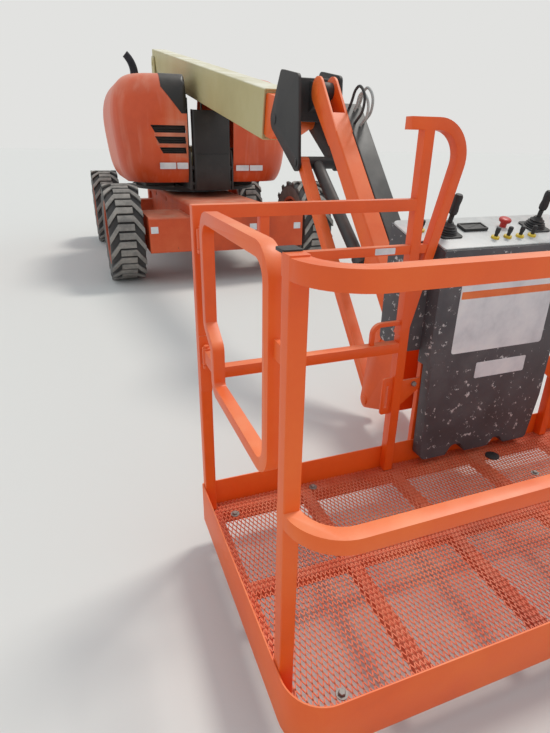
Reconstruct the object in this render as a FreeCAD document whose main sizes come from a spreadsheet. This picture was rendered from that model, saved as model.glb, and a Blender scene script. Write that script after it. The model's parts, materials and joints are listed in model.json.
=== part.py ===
import FreeCAD, Part
import math
import os
import re
import Sketcher
from FreeCAD import Placement, Rotation, Vector

# Articulating boom lift, in millimetres and degrees.
# X points from the turntable to the platform, Y to the right of a person who looks
# back along the boom from the platform, Z up from the ground.
# Sizes are written about the slewing axis, and slew_axis_x puts that axis in the part's frame.

os.makedirs("parts", exist_ok=True)
document = FreeCAD.newDocument("boom_lift")

# Driving sizes: name, value
SIZES = [
    # Wheels
    ("tyre_radius", 505), ("tread_depth", 30), ("tyre_width", 355), ("lug_count", 18),
    ("lug_width", 68), ("lug_draft", 3), ("lug_bend", 80), ("lug_sweep", 134),
    ("wall_radius", 440), ("bead_radius", 318), ("bead_inset", 24), ("rim_wall", 12),
    ("hub_radius", 150), ("hub_proud", 55),
    ("half_track", 1068), ("half_wheelbase", 1240),
    # Chassis
    ("chassis_front", 1750), ("chassis_back", -1560), ("chassis_half_width", 410),
    ("chassis_floor", 345), ("chassis_top", 830), ("chassis_edge", 40), ("chassis_plate", 20),
    ("axle_box_back", 1060), ("axle_box_top", 712), ("axle_box_end", 850),
    ("axle_flange_radius", 145), ("axle_flange_end", 980),
    ("lifting_eye_radius", 34), ("lifting_eye_z", 740),
    ("front_eye_x", 200), ("back_eye_x", -620),
    # Steered axle
    ("kingpin_y", 800), ("steer_beam_depth", 190), ("steer_beam_width", 170),
    ("kingpin_radius", 30), ("knuckle_barrel_radius", 56), ("spindle_radius", 70),
    ("spindle_end_radius", 60),
    ("yoke_plate", 34), ("steer_arm_length", 205), ("steer_arm_z", 322), ("steer_arm_plate", 26),
    ("tie_rod_radius", 17), ("tie_pin_radius", 11),
    ("axle_notch_half", 150), ("axle_pivot_z", 560), ("axle_pivot_radius", 42),
    # Turntable
    ("slew_ring_radius", 470), ("slew_ring_top", 880), ("deck_radius", 790), ("deck_top", 915),
    ("side_plate_y", 232), ("side_plate_thick", 20),
    ("side_plate_back", -1010), ("side_plate_front", 1060), ("side_plate_low", 1130),
    ("weight_radius", 1185), ("weight_floor", 1040), ("weight_top", 1560),
    ("weight_front", -800), ("weight_slab", 42), ("weight_step", 10),
    ("cover_front", 1092), ("cover_half_width", 212), ("cover_top", 1745), ("cover_plate", 6),
    ("hinge_post_x", 430), ("hinge_z", 2045), ("hinge_offset", 16), ("hinge_radius", 9),
    # Hoods
    ("hood_front", 1062), ("hood_back", -770), ("hood_side", 1030), ("hood_inner", 262),
    ("hood_corner", 420), ("hood_wall", 14), ("hood_floor", 922), ("hood_top", 2085),
    ("exhaust_radius", 34), ("exhaust_x", 300), ("exhaust_y", -690),
    # Telescoping tower
    ("tower_foot_x", 880), ("tower_foot_z", 1230), ("tower_head_x", -1750),
    ("tower_width", 240), ("tower_height", 280), ("tower_wall", 12), ("tower_pin_radius", 40),
    ("tower_base_end", -1420), ("tower_fly_width", 196), ("tower_fly_height", 236), ("wear_gap", 0.4),
    ("head_pin_radius", 36), ("tower_cylinder_foot_x", 560), ("tower_cylinder_foot_z", 975),
    ("tower_cylinder_lug", 1100), ("tower_cylinder_drop", 205), ("tower_cylinder_pin", 30),
    # Upright
    ("upright_inner", 126), ("upright_plate", 20), ("boom_foot_x", -1850), ("boom_foot_z", 2500),
    ("lift_foot_x", -1660), ("lift_foot_z", 1880), ("lift_pin_radius", 32),
    # Main boom, along its own slope
    ("boom_slope", 10), ("boom_width", 230), ("boom_height", 350), ("boom_wall", 10),
    ("boom_tail", 165), ("boom_end", 5055),
    ("fly_width", 190), ("fly_height", 290), ("fly_start", 900), ("fly_wall", 10),
    ("boom_pin_radius", 38), ("nose_pin_along", 5400), ("nose_pin_up", 20), ("nose_pin_radius", 34),
    ("lift_lug_along", 1300), ("lift_lug_drop", 250),
    # Level bracket and jib
    ("jib_pin_x", 3950), ("jib_pin_z", 1725), ("link_offset_x", -80), ("link_offset_z", -410),
    ("jib_slope", 47.5), ("jib_length", 1620), ("jib_width", 110), ("jib_depth", 118),
    ("jib_pin_radius", 30), ("link_pin_radius", 26), ("jib_tongue_half", 40),
    ("bracket_inner", 133), ("bracket_plate", 18), ("pin_proud", 6),
    ("link_size", 64), ("link_y", -95), ("jib_lug_along", 1240), ("jib_lug_drop", 165),
    # Platform
    ("rotator_x", 5330), ("rotator_radius", 78), ("rotator_floor", 182), ("rotator_top", 606),
    ("rotator_pin_radius", 30), ("clevis_gap", 8), ("clevis_plate", 20), ("clevis_half", 130),
    ("platform_far", 5600), ("platform_depth", 910), ("platform_half", 1220), ("floor_z", 170),
    ("rail_top", 1100), ("rail_tube", 38), ("mid_rail", 560), ("post_setback", 140), ("rail_bend", 105),
    ("toe_top", 100), ("toe_height", 165), ("toe_plate", 5), ("mesh_plate", 8), ("floor_gap", 0.5),
    ("floor_bar", 40), ("floor_bar_depth", 38),
    ("hinge_setback", 22), ("lower_hinge", 640), ("upper_hinge", 1010), ("gate_pin_radius", 8),
    ("gate_tube", 34), ("gate_gap", 12),
    ("guard_y", 430), ("guard_height", 1350), ("guard_tube", 38), ("hand_bar_y", 990), ("hand_bar_z", 930),
    # Console
    ("console_back", 5430), ("console_rise", 930), ("console_proud", 41),
    ("console_half", 318), ("console_rear_half", 400), ("console_gap", 9),
    ("deck_plate", 7), ("deck_tilt", 16.6),
    # Cylinders
    ("tower_barrel_radius", 48), ("tower_rod_radius", 27), ("lift_barrel_radius", 60),
    ("lift_rod_radius", 34), ("jib_barrel_radius", 38), ("jib_rod_radius", 21), ("barrel_wall", 8),
    # Fits
    ("pin_fit", 0.3), ("side_fit", 0.3), ("slew_axis_x", -2233),
]

sheet = document.addObject("Spreadsheet::Sheet", "Sizes")
for row, (alias, value) in enumerate(SIZES, start=1):
    sheet.set(f"A{row}", alias)
    sheet.set(f"B{row}", str(value))
    sheet.setAlias(f"B{row}", alias)
document.recompute()


class Sizes:
    """The sheet's cells as plain numbers, by name."""


size = Sizes()
for alias, value in SIZES:
    setattr(size, alias, float(sheet.get(alias)))

ALIASES = {alias for alias, value in SIZES}
AXIS_PLANE = {"X": "YZ_Plane", "Y": "XZ_Plane", "Z": "XY_Plane"}
parts = []


def formula(text):
    """An expression for FreeCAD: every size's name is looked up in the sheet."""
    def look_up(match):
        word = match.group()
        return "Sizes." + word if word in ALIASES else word
    return re.sub(r"[a-z_]+", look_up, str(text))


def place(item, x, y, z):
    """Tie an object's origin to formulas about the slewing axis."""
    item.setExpression("Placement.Base.x", formula(f"slew_axis_x + ({x})"))
    item.setExpression("Placement.Base.y", formula(y))
    item.setExpression("Placement.Base.z", formula(z))


def shape_feature(label, shape, x="0", y="0", z="0"):
    """A sub-part whose solid comes from Part's own functions."""
    feature = document.addObject("Part::Feature", label)
    feature.Label = label
    feature.Shape = shape
    place(feature, x, y, z)
    parts.append(feature)
    return feature


def origin_feature(body, role):
    return next(item for item in body.Origin.OriginFeatures if item.Role == role)


def new_body(label, x="0", y="0", z="0", tilt=0.0):
    """A sub-part whose own origin is at x, y, z about the slewing axis, tilted nose down."""
    body = document.addObject("PartDesign::Body", label)
    body.Label = label
    body.Placement = Placement(Vector(0, 0, 0), Rotation(Vector(0, 1, 0), tilt))
    place(body, x, y, z)
    parts.append(body)
    return body


def rounded(points):
    """Edges of a closed outline. A point is (u, v) or (u, v, radius of its bend)."""
    corners = []
    count = len(points)
    for index, point in enumerate(points):
        here = Vector(point[0], point[1], 0)
        radius = point[2] if len(point) > 2 else 0
        if radius <= 0:
            corners.append((here, None, here))
            continue
        before = (Vector(*points[index - 1][:2], 0) - here).normalize()
        after = (Vector(*points[(index + 1) % count][:2], 0) - here).normalize()
        half_angle = before.getAngle(after) / 2
        reach = radius / math.tan(half_angle)
        middle = (before + after).normalize()
        centre = here + middle * (radius / math.sin(half_angle))
        corners.append((here + before * reach, centre - middle * radius, here + after * reach))
    edges = []
    for index, (start, mid, end) in enumerate(corners):
        if mid is not None:
            edges.append(Part.Arc(start, mid, end))
        following = corners[(index + 1) % count][0]
        if (following - end).Length > 1e-6:
            edges.append(Part.LineSegment(end, following))
    return edges


def circle(u, v, radius):
    return [Part.Circle(Vector(u, v, 0), Vector(0, 0, 1), radius)]


def rectangle(u_low, u_high, v_low, v_high, radius=0):
    return rounded([(u_low, v_low, radius), (u_high, v_low, radius),
                    (u_high, v_high, radius), (u_low, v_high, radius)])


def add_sketch(body, name, axis, loops, offset):
    sketch = body.newObject("Sketcher::SketchObject", name + "_sketch")
    sketch.AttachmentSupport = [(origin_feature(body, AXIS_PLANE[axis]), "")]
    sketch.MapMode = "FlatFace"
    sketch.setExpression("AttachmentOffset.Base.z", formula(offset))
    for loop in loops:
        sketch.addGeometry(loop, False)
    return sketch


def pad(body, name, axis, loops, low, high):
    """Material between two planes across an axis. low and high are formulas."""
    offset = f"-({high})" if axis == "Y" else low
    feature = body.newObject("PartDesign::Pad", name)
    feature.Profile = add_sketch(body, name, axis, loops, offset)
    feature.setExpression("Length", formula(f"({high}) - ({low})"))
    return feature


def pocket(body, name, axis, loops, low, high):
    """A cut between two planes across an axis. low and high are formulas."""
    offset = f"-({low})" if axis == "Y" else high
    document.recompute()
    feature = body.newObject("PartDesign::Pocket", name)
    feature.Profile = add_sketch(body, name, axis, loops, offset)
    feature.setExpression("Length", formula(f"({high}) - ({low})"))
    return feature


def turned(body, name, plane_axis, about, loops):
    """Material turned all round one of the body's own axes."""
    feature = body.newObject("PartDesign::Revolution", name)
    feature.Profile = add_sketch(body, name, plane_axis, loops, "0")
    feature.ReferenceAxis = (origin_feature(body, about + "_Axis"), [""])
    feature.Angle = 360
    return feature


def set_radius(sketch, radius):
    """Tie the only circle of a sketch to a formula."""
    rule = sketch.addConstraint(Sketcher.Constraint("Radius", 0, 1.0))
    sketch.setExpression(f"Constraints[{rule}]", formula(radius))


def bar(body, name, u, v, radius, low, high, axis="Y"):
    """A round bar along an axis: its radius, low and high are formulas."""
    feature = pad(body, name, axis, [circle(u, v, 1)], low, high)
    set_radius(feature.Profile[0], radius)
    return feature


def bore(body, name, u, v, radius, low, high, axis="Y"):
    """A round hole along an axis: its radius, low and high are formulas."""
    feature = pocket(body, name, axis, [circle(u, v, 1)], low, high)
    set_radius(feature.Profile[0], radius)
    return feature


def tangent_plate(centres):
    """The outline round a chain of circles (u, v, radius), as a belt round pulleys.

    The circles are given anticlockwise and each one lies on the outside of the belt."""
    edges = []
    count = len(centres)
    touches = []
    for index in range(count):
        u_one, v_one, r_one = centres[index]
        u_two, v_two, r_two = centres[(index + 1) % count]
        along = math.atan2(v_two - v_one, u_two - u_one)
        gap = math.hypot(u_two - u_one, v_two - v_one)
        side = along - math.pi / 2 + math.asin((r_one - r_two) / gap)
        reach = Vector(math.cos(side), math.sin(side), 0)
        leave, arrive = Vector(u_one, v_one, 0) + reach * r_one, Vector(u_two, v_two, 0) + reach * r_two
        touches.append((leave, arrive, side))
    for index in range(count):
        start, end, side = touches[index]
        next_start, next_end, next_side = touches[(index + 1) % count]
        edges.append(Part.LineSegment(start, end))
        u_two, v_two, r_two = centres[(index + 1) % count]
        turn = (next_side - side) % (2 * math.pi)
        middle = side + turn / 2
        if r_two > 0 and turn > 1e-6:
            mid_point = Vector(u_two + r_two * math.cos(middle), v_two + r_two * math.sin(middle), 0)
            edges.append(Part.Arc(end, mid_point, next_start))
    return edges


def band(points, width, closed=False):
    """Outlines along the middle line of a bent bar. A point is (u, v) or (u, v, radius of its bend)."""
    count = len(points)
    rows = ([], [])
    for index, point in enumerate(points):
        here = Vector(point[0], point[1], 0)
        before, after = None, None
        if closed or index > 0:
            before = (here - Vector(*points[index - 1][:2], 0)).normalize()
        if closed or index < count - 1:
            after = (Vector(*points[(index + 1) % count][:2], 0) - here).normalize()
        before = before or after
        after = after or before
        across = Vector(-before.y, before.x, 0)
        mitre = (across + Vector(-after.y, after.x, 0)).normalize()
        reach = width / 2 / mitre.dot(across)
        bends_left = 1 if before.x * after.y - before.y * after.x > 0 else -1
        for row, sign in zip(rows, (1, -1)):
            spot = here + mitre * (sign * reach)
            radius = point[2] - sign * bends_left * width / 2 if len(point) > 2 else 0
            row.append((spot.x, spot.y, radius))
    if closed:
        return [rounded(rows[0]), rounded(rows[1])]
    return [rounded(rows[0] + rows[1][::-1])]


# Places worked out from the driving sizes
slope = math.radians(size.boom_slope)
jib_angle = math.radians(size.jib_slope)


def on_boom(along, up):
    """A point of the boom's side view in the upright X-Z plane."""
    return (size.boom_foot_x + along * math.cos(slope) + up * math.sin(slope),
            size.boom_foot_z - along * math.sin(slope) + up * math.cos(slope))


def on_jib(along, up):
    """A point of the jib's side view in the upright X-Z plane."""
    return (size.jib_pin_x + along * math.cos(jib_angle) + up * math.sin(jib_angle),
            size.jib_pin_z - along * math.sin(jib_angle) + up * math.cos(jib_angle))


nose_x, nose_z = on_boom(size.nose_pin_along, size.nose_pin_up)
arm_end_x, arm_end_z = on_jib(size.jib_length, 0)
link_top_x = size.jib_pin_x + size.link_offset_x
link_top_z = size.jib_pin_z + size.link_offset_z
link_end_x = arm_end_x + size.link_offset_x
link_end_z = arm_end_z + size.link_offset_z
hood_hinge_y = size.side_plate_y + size.hinge_offset
tyre_side = size.tyre_width / 2
tyre_bead = tyre_side - size.bead_inset
carcass_radius = size.tyre_radius - size.tread_depth
platform_near = size.platform_far + size.platform_depth
frame_floor = size.floor_z + size.toe_top - size.toe_height
floor_inset = size.toe_plate + size.floor_gap
rail_inset = floor_inset + size.rail_tube / 2
far_rail_x = size.platform_far + rail_inset
near_rail_x = platform_near - rail_inset
near_post_x = platform_near - size.post_setback
side_rail_y = size.platform_half - rail_inset
hinge_x = far_rail_x + size.rail_tube / 2 + size.hinge_setback


# Wheels

# Flat facets round a tyre's walls and bore
TYRE_FACETS = 36


def around(y, pairs):
    """Points across a wheel's axle at y. Each pair is a radius and an angle from the lowest point."""
    return [Vector(radius * math.sin(angle), y, -radius * math.cos(angle)) for radius, angle in pairs]


def plain_outline(y, radius):
    """A many-sided ring at y whose flats touch a circle of the radius."""
    corner = radius / math.cos(math.pi / TYRE_FACETS)
    return around(y, [(corner, 2 * math.pi * index / TYRE_FACETS) for index in range(TYRE_FACETS)])


def lugged_outline(y, turn):
    """The tread's outline at y. Its first lug ends at the angle turn from the lowest point."""
    tip = math.asin(size.lug_width / 2 / size.tyre_radius)
    foot = math.asin((size.lug_width / 2 + size.lug_draft) / carcass_radius)
    pairs = []
    for index in range(int(size.lug_count)):
        middle = turn - tip + 2 * math.pi * index / size.lug_count
        pairs += [(carcass_radius, middle - foot), (size.tyre_radius, middle - tip),
                  (size.tyre_radius, middle + tip), (carcass_radius, middle + foot)]
    return around(y, pairs)


def flat_face(corners):
    return Part.Face(Part.makePolygon(corners + corners[:1]))


def strip(one, other):
    """Flat faces between two outlines that have as many points each."""
    faces = []
    for index, corner in enumerate(one):
        following = (index + 1) % len(one)
        faces.append(flat_face([corner, one[following], other[following]]))
        faces.append(flat_face([corner, other[following], other[index]]))
    return faces


def flat_ring(outer, inner):
    """One flat face between two closed outlines."""
    wires = [Part.makePolygon(points + points[:1]) for points in (outer, inner)]
    return Part.makeFace(wires, "Part::FaceMakerBullseye")


def half_tyre(side, turn):
    """Half a tyre, from its middle to one side. side is -1 on the left and 1 on the right."""
    bore_middle = plain_outline(0, size.bead_radius)
    bore_side = plain_outline(side * tyre_bead, size.bead_radius)
    wall = plain_outline(side * tyre_side, size.wall_radius)
    tread_middle = lugged_outline(0, turn)
    tread_bend = lugged_outline(side * size.lug_bend, turn)
    tread_side = lugged_outline(side * tyre_side, turn - size.lug_sweep / size.tyre_radius)
    faces = strip(bore_middle, bore_side) + strip(bore_side, wall)
    faces += strip(tread_middle, tread_bend) + strip(tread_bend, tread_side)
    faces += [flat_ring(tread_middle, bore_middle), flat_ring(tread_side, wall)]
    return Part.makeSolid(Part.makeShell(faces))


def tyre(label, x, y):
    """A tyre whose lugs bend back towards its sides, and whose two sides are half a step apart."""
    step = 2 * math.pi / size.lug_count
    shape = half_tyre(-1, 0).fuse(half_tyre(1, step / 2)).removeSplitter()
    return shape_feature(label, shape, x, y, "tyre_radius")


def rim(label, x, y, turn):
    body = new_body(label, x, y, "tyre_radius")
    body.Placement = Placement(body.Placement.Base, Rotation(Vector(0, 0, 1), turn))
    outside = size.bead_radius - size.pin_fit
    inside = outside - size.rim_wall
    lip = size.bead_radius + 16
    barrel = rounded([(-tyre_bead - 8, inside), (tyre_bead + 8, inside), (tyre_bead + 11, lip),
                      (tyre_bead + 5, lip), (tyre_bead + 1, outside), (-tyre_bead - 1, outside),
                      (-tyre_bead - 5, lip), (-tyre_bead - 11, lip)])
    turned(body, "barrel", "X", "Y", [barrel])
    disc_back, disc_front = 56, 72
    hub_back, hub_front = -78, disc_front + size.hub_proud
    cap_front, cap_radius = hub_front + 22, 74
    disc = rounded([(hub_back, 0), (hub_back, 104), (disc_back, 118), (disc_back, inside + 2),
                    (disc_front, inside + 2), (disc_front, size.hub_radius),
                    (hub_front, size.hub_radius - 14), (hub_front, cap_radius + 8),
                    (cap_front, cap_radius), (cap_front, 0)])
    turned(body, "disc_and_hub", "X", "Y", [disc])
    bore(body, "spindle_hole", 0, 0, "spindle_end_radius + pin_fit", str(hub_back), "-8")
    return body


# Chassis

def chassis_frame():
    body = new_body("chassis_frame")
    half, low, top, edge = size.chassis_half_width, size.chassis_floor, size.chassis_top, size.chassis_edge
    plate = size.chassis_plate
    section = rounded([(-half, low), (half, low), (half, top, edge), (-half, top, edge)])
    pad(body, "box", "X", [section], "chassis_back", "chassis_front")
    axle_x = -size.half_wheelbase
    notch = size.axle_notch_half
    inner = half - plate
    back_wall, front_wall = -560, 260
    cells = [(size.chassis_back + plate, axle_x - notch - plate), (axle_x + notch + plate, back_wall),
             (back_wall + plate, front_wall), (front_wall + plate, size.axle_box_back),
             (size.axle_box_back + plate, size.chassis_front - plate)]
    cell_loops = [rectangle(start, end, -inner, inner) for start, end in cells]
    pocket(body, "cells", "Z", cell_loops, "chassis_floor", "chassis_top - 25")
    notch_top, notch_corner = 715, 60
    notch_outline = rounded([(axle_x - notch, low), (axle_x + notch, low),
                             (axle_x + notch, notch_top, notch_corner),
                             (axle_x - notch, notch_top, notch_corner)])
    pocket(body, "axle_notch", "Y", [notch_outline], "-chassis_half_width", "chassis_half_width")
    bore(body, "axle_pivot_hole", 0, size.axle_pivot_z, "axle_pivot_radius + pin_fit",
         "-half_wheelbase - axle_notch_half - chassis_plate",
         "-half_wheelbase + axle_notch_half + chassis_plate", "X")
    for name, x in (("front_eyes", size.front_eye_x), ("back_eyes", size.back_eye_x)):
        bore(body, name, x, size.lifting_eye_z, "lifting_eye_radius",
             "-chassis_half_width", "chassis_half_width")
    return body


def rear_axle():
    body = new_body("rear_axle")
    x, z = size.half_wheelbase, size.tyre_radius
    for name, sign in (("left", "-"), ("right", "")):
        box_floor = size.chassis_floor + 8
        back, front, box_top = size.axle_box_back, size.chassis_front, size.axle_box_top
        box = rounded([(back, box_floor, 20), (front, box_floor, 12),
                       (front, box_top, 30), (back, box_top, 30)])
        steps = [("box", None, "chassis_half_width", "axle_box_end"),
                 ("flange", "axle_flange_radius", "axle_box_end", "axle_flange_end"),
                 ("spindle", "spindle_end_radius", "axle_flange_end", "half_track - 12")]
        for step, radius, near, far in steps:
            low, high = (near, far) if sign == "" else (f"-({far})", f"-({near})")
            if radius is None:
                pad(body, f"{name}_{step}", "Y", [box], low, high)
            else:
                bar(body, f"{name}_{step}", x, z, radius, low, high)
    return body


# How far the steering yoke reaches below and above the wheels' axle
YOKE_LOW, YOKE_HIGH = -130, 150


def front_axle():
    body = new_body("front_axle")
    x, z = -size.half_wheelbase, size.tyre_radius
    half_depth = size.steer_beam_depth / 2
    web = size.kingpin_y - 65
    low, high = z + YOKE_LOW, z + YOKE_HIGH
    plate = size.yoke_plate
    beam = rounded([(-web, low), (web, low), (web, high), (web - 36, high), (web - 66, z + half_depth, 24),
                    (-web + 66, z + half_depth, 24), (-web + 36, high), (-web, high)])
    pad(body, "beam", "X", [beam], "-half_wheelbase - steer_beam_width / 2",
        "-half_wheelbase + steer_beam_width / 2")
    ear_half, ear_end = 58, size.kingpin_y + 56
    for side, sign in (("left", -1), ("right", 1)):
        ear = rounded([(x - ear_half, sign * (web - 30)), (x + ear_half, sign * (web - 30)),
                       (x + ear_half, sign * ear_end, 50), (x - ear_half, sign * ear_end, 50)])
        for name, floor in (("lower", low), ("upper", high - plate)):
            pad(body, f"{side}_{name}_ear", "Z", [ear], str(floor), str(floor + plate))
        bore(body, f"{side}_kingpin_hole", x, sign * size.kingpin_y,
             "kingpin_radius + pin_fit", str(low), str(high), "Z")
    bar(body, "pivot_boss", 0, size.axle_pivot_z, "axle_pivot_radius + 40",
        "-half_wheelbase - axle_notch_half + 8", "-half_wheelbase + axle_notch_half - 8", "X")
    bar(body, "pivot_pin", 0, size.axle_pivot_z, "axle_pivot_radius",
        "-half_wheelbase - axle_notch_half - chassis_plate",
        "-half_wheelbase + axle_notch_half + chassis_plate", "X")
    return body


def knuckle(label, side):
    """The steering knuckle on one side: side is -1 on the left and 1 on the right."""
    body = new_body(label)
    x, y, z = -size.half_wheelbase, side * size.kingpin_y, size.tyre_radius
    yoke_low, yoke_high = z + YOKE_LOW + size.yoke_plate, z + YOKE_HIGH - size.yoke_plate
    bar(body, "kingpin", x, y, "kingpin_radius",
        "steer_arm_z - steer_arm_plate / 2", str(z + YOKE_HIGH + 2), "Z")
    bar(body, "barrel", x, y, "knuckle_barrel_radius", str(yoke_low + 1), str(yoke_high - 1), "Z")
    near, far = size.kingpin_y, size.half_track - 12
    low, high = (near, far) if side > 0 else (-far, -near)
    bar(body, "spindle", x, z, "spindle_end_radius", str(low), str(high))
    shoulder = size.axle_flange_end
    low, high = (near, shoulder) if side > 0 else (-shoulder, -near)
    bar(body, "spindle_root", x, z, "spindle_radius", str(low), str(high))
    tip_x = x + size.steer_arm_length
    pad(body, "steer_arm", "Z", [tangent_plate([(x, y, 44), (tip_x, y, 27)])],
        "steer_arm_z - steer_arm_plate / 2", "steer_arm_z + steer_arm_plate / 2")
    bar(body, "tie_rod_pin", tip_x, y, "tie_pin_radius", "steer_arm_z - 54", "steer_arm_z + 10", "Z")
    return body


def tie_rod():
    body = new_body("tie_rod")
    x = -size.half_wheelbase + size.steer_arm_length
    y = size.kingpin_y
    eye_half = size.tie_rod_radius + 3
    z = size.steer_arm_z - size.steer_arm_plate / 2 - 1 - eye_half
    bar(body, "rod", x, z, "tie_rod_radius", f"-({y} - 16)", f"{y} - 16")
    for name, sign in (("left_eye", -1), ("right_eye", 1)):
        low, high = str(z - eye_half), str(z + eye_half)
        bar(body, name, x, sign * y, "26", low, high, "Z")
        bore(body, name + "_hole", x, sign * y, "tie_pin_radius + pin_fit", low, high, "Z")
    return body


def slew_bearing():
    body = new_body("slew_bearing")
    ring = size.slew_ring_radius - 70
    groove = size.chassis_top + 28
    outline = rounded([(ring - 90, size.chassis_top), (ring, size.chassis_top), (ring, groove - 6),
                       (ring - 14, groove), (ring, groove + 6), (ring, size.slew_ring_top),
                       (ring - 90, size.slew_ring_top)])
    turned(body, "ring", "Y", "Z", [outline])
    return body


# Turntable

def turntable_frame():
    body = new_body("turntable_frame")
    bar(body, "deck", 0, 0, "deck_radius", "slew_ring_top", "deck_top", "Z")
    plate_floor = size.deck_top - 1
    tower_shoulder, weight_shoulder = size.tower_foot_z + 110, size.weight_top - 130
    over_slab = size.weight_floor + size.weight_slab + size.pin_fit
    weight_face = size.weight_front + size.weight_step
    plate_outline = rounded([
        (weight_face, plate_floor), (size.side_plate_front, plate_floor),
        (size.side_plate_front, size.side_plate_low + 60),
        (size.side_plate_front - 50, tower_shoulder, 60), (size.tower_foot_x - 130, tower_shoulder, 60),
        (560, size.side_plate_low, 90), (-640, size.side_plate_low, 90),
        (size.weight_front, weight_shoulder, 60), (size.side_plate_back, weight_shoulder, 40),
        (size.side_plate_back, over_slab), (weight_face, over_slab)])
    sides = (("left", "-(side_plate_y + side_plate_thick)", "-side_plate_y"),
             ("right", "side_plate_y", "side_plate_y + side_plate_thick"))
    for side, low, high in sides:
        pad(body, side + "_plate", "Y", [plate_outline], low, high)
    for side, sign in (("left", -1), ("right", 1)):
        for name, x in (("back", -size.hinge_post_x), ("front", size.hinge_post_x)):
            y = sign * hood_hinge_y
            pad(body, f"{side}_{name}_post", "Z", [rectangle(x - 35, x + 35, y - 8, y + 8, 5)],
                "deck_top - 1", "hinge_z + 14")
            bar(body, f"{side}_{name}_hinge", y, size.hinge_z, "hinge_radius", f"{x} - 62", f"{x} + 62", "X")
    ends = "side_plate_y + side_plate_thick"
    bar(body, "tower_pin", size.tower_foot_x, size.tower_foot_z, "tower_pin_radius",
        f"-({ends}) - 12", f"{ends} + 12")
    pin_x, pin_z = size.tower_cylinder_foot_x, size.tower_cylinder_foot_z
    bar(body, "cylinder_pin", pin_x, pin_z, "tower_cylinder_pin", f"-({ends})", ends)
    foot = rounded([(pin_x - 60, plate_floor), (pin_x + 60, plate_floor),
                    (pin_x + 45, pin_z + 42, 40), (pin_x - 45, pin_z + 42, 40)])
    for name, low, high in (("left_foot", "-84", "-62"), ("right_foot", "62", "84")):
        pad(body, name, "Y", [foot], low, high)
    return body


def counterweight():
    body = new_body("counterweight")
    reach, low, high, bevel = size.weight_radius, size.weight_floor, size.weight_top, 60
    outline = rounded([(0, low), (reach - bevel, low, 20), (reach, low + bevel, 20),
                       (reach, high - bevel, 20), (reach - bevel, high, 20), (0, high)])
    turned(body, "block", "Y", "Z", [outline])
    pocket(body, "front_cut", "Z", [rectangle(size.weight_front, reach + 10, -reach - 10, reach + 10)],
           "weight_floor", "weight_top")
    gap = size.side_plate_y + size.side_plate_thick
    pocket(body, "tower_gap", "Z", [rectangle(-reach - 10, size.weight_front + size.weight_step, -gap, gap)],
           "weight_floor + weight_slab", "weight_top")
    return body


def centre_cover():
    body = new_body("centre_cover")
    half, front, wall = size.cover_half_width, size.cover_front, size.cover_plate
    back = front - 84
    for name, face, corner, high in (("channel", front, 24, "cover_top"),
                                     ("lower_step", front + 14, 30, "deck_top + 380")):
        inside = face - wall
        outline = rounded([(back, -half), (face, -half, corner), (face, half, corner), (back, half),
                           (back, half - wall), (inside, half - wall, corner - wall),
                           (inside, -half + wall, corner - wall), (back, -half + wall)])
        pad(body, name, "Z", [outline], "deck_top", high)
    drop = math.tan(slope) * 120
    slant = rounded([(back - 10, size.cover_top + drop / 2), (back - 10, size.cover_top + 60),
                     (front + 30, size.cover_top + 60), (front + 30, size.cover_top - drop / 2)])
    pocket(body, "slanted_top", "Y", [slant], "-cover_half_width", "cover_half_width")
    for side, low, high in (("left", "-side_plate_y", "-cover_half_width + 3"),
                            ("right", "cover_half_width - 3", "side_plate_y")):
        for name, z in (("lower", 960), ("upper", 1130)):
            lug = rectangle(size.side_plate_front - 45, size.side_plate_front - 5, z, z + 40, 6)
            pad(body, f"{side}_{name}_lug", "Y", [lug], low, high)
    return body


def engine_block():
    body = new_body("engine_block")
    pad(body, "block", "Z", [rectangle(-400, 400, -690, -310, 30)], "deck_top", "deck_top + 560")
    return body


def fuel_tank():
    body = new_body("fuel_tank")
    pad(body, "tank", "X", [rectangle(300, 690, size.deck_top, size.deck_top + 430, 45)], "-420", "420")
    return body


# The hood's plan and how far it draws in at each height: height, inset
HOOD_LEVELS = [(0.0, 250), (0.23, 40), (0.55, 0), (0.82, 28), (0.95, 120), (1.0, 290)]


def hood_section(level, inset, side, depth):
    """One level of a hood's outside: depth is how far it lies under the skin."""
    drawn = inset + depth
    inner = size.hood_inner - (30 if depth else 0)
    height = size.hood_floor + level * (size.hood_top - size.hood_floor)
    if depth:
        height += -depth if level == 1.0 else (-20 if level == 0.0 else 0)
    front, back, outer = size.hood_front - drawn * 0.75, size.hood_back + drawn, size.hood_side - drawn
    radius = max(size.hood_corner - 0.55 * drawn, 60)
    corners = [(back, side * inner), (front, side * inner), (front, side * outer, radius),
               (back, side * outer, radius * 0.62)]
    return corners, height


def hood_solid(side, depth):
    wires = []
    for level, inset in HOOD_LEVELS:
        corners, height = hood_section(level, inset, side, depth)
        edges = [edge.toShape() for edge in rounded(corners)]
        wire = Part.Wire(Part.__sortEdges__(edges))
        wire.translate(Vector(0, 0, height))
        wires.append(wire)
    return Part.makeLoft(wires, True, False)


# Louvre slots of the engine hood: height of the middle, depth of the slot, outer end
LOUVRES = [(1545, 74, -640), (1435, 70, -600), (1330, 62, -560)]


def hood_ears(side):
    """The two ears that hang each hood on its posts."""
    ears = []
    thick, tall, inner_reach = 14, 46, 14
    near = hood_hinge_y - inner_reach if side > 0 else -hood_hinge_y + inner_reach - tall
    for x in (-size.hinge_post_x, size.hinge_post_x):
        for start in (x - 58, x + 44):
            ear = Part.makeBox(thick, tall, tall, Vector(start, near, size.hinge_z - inner_reach))
            hole_start = Vector(start - 3, side * hood_hinge_y, size.hinge_z)
            hole = Part.makeCylinder(size.hinge_radius + size.pin_fit, thick + 6, hole_start, Vector(1, 0, 0))
            ears.append(ear.cut(hole))
    return ears


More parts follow.
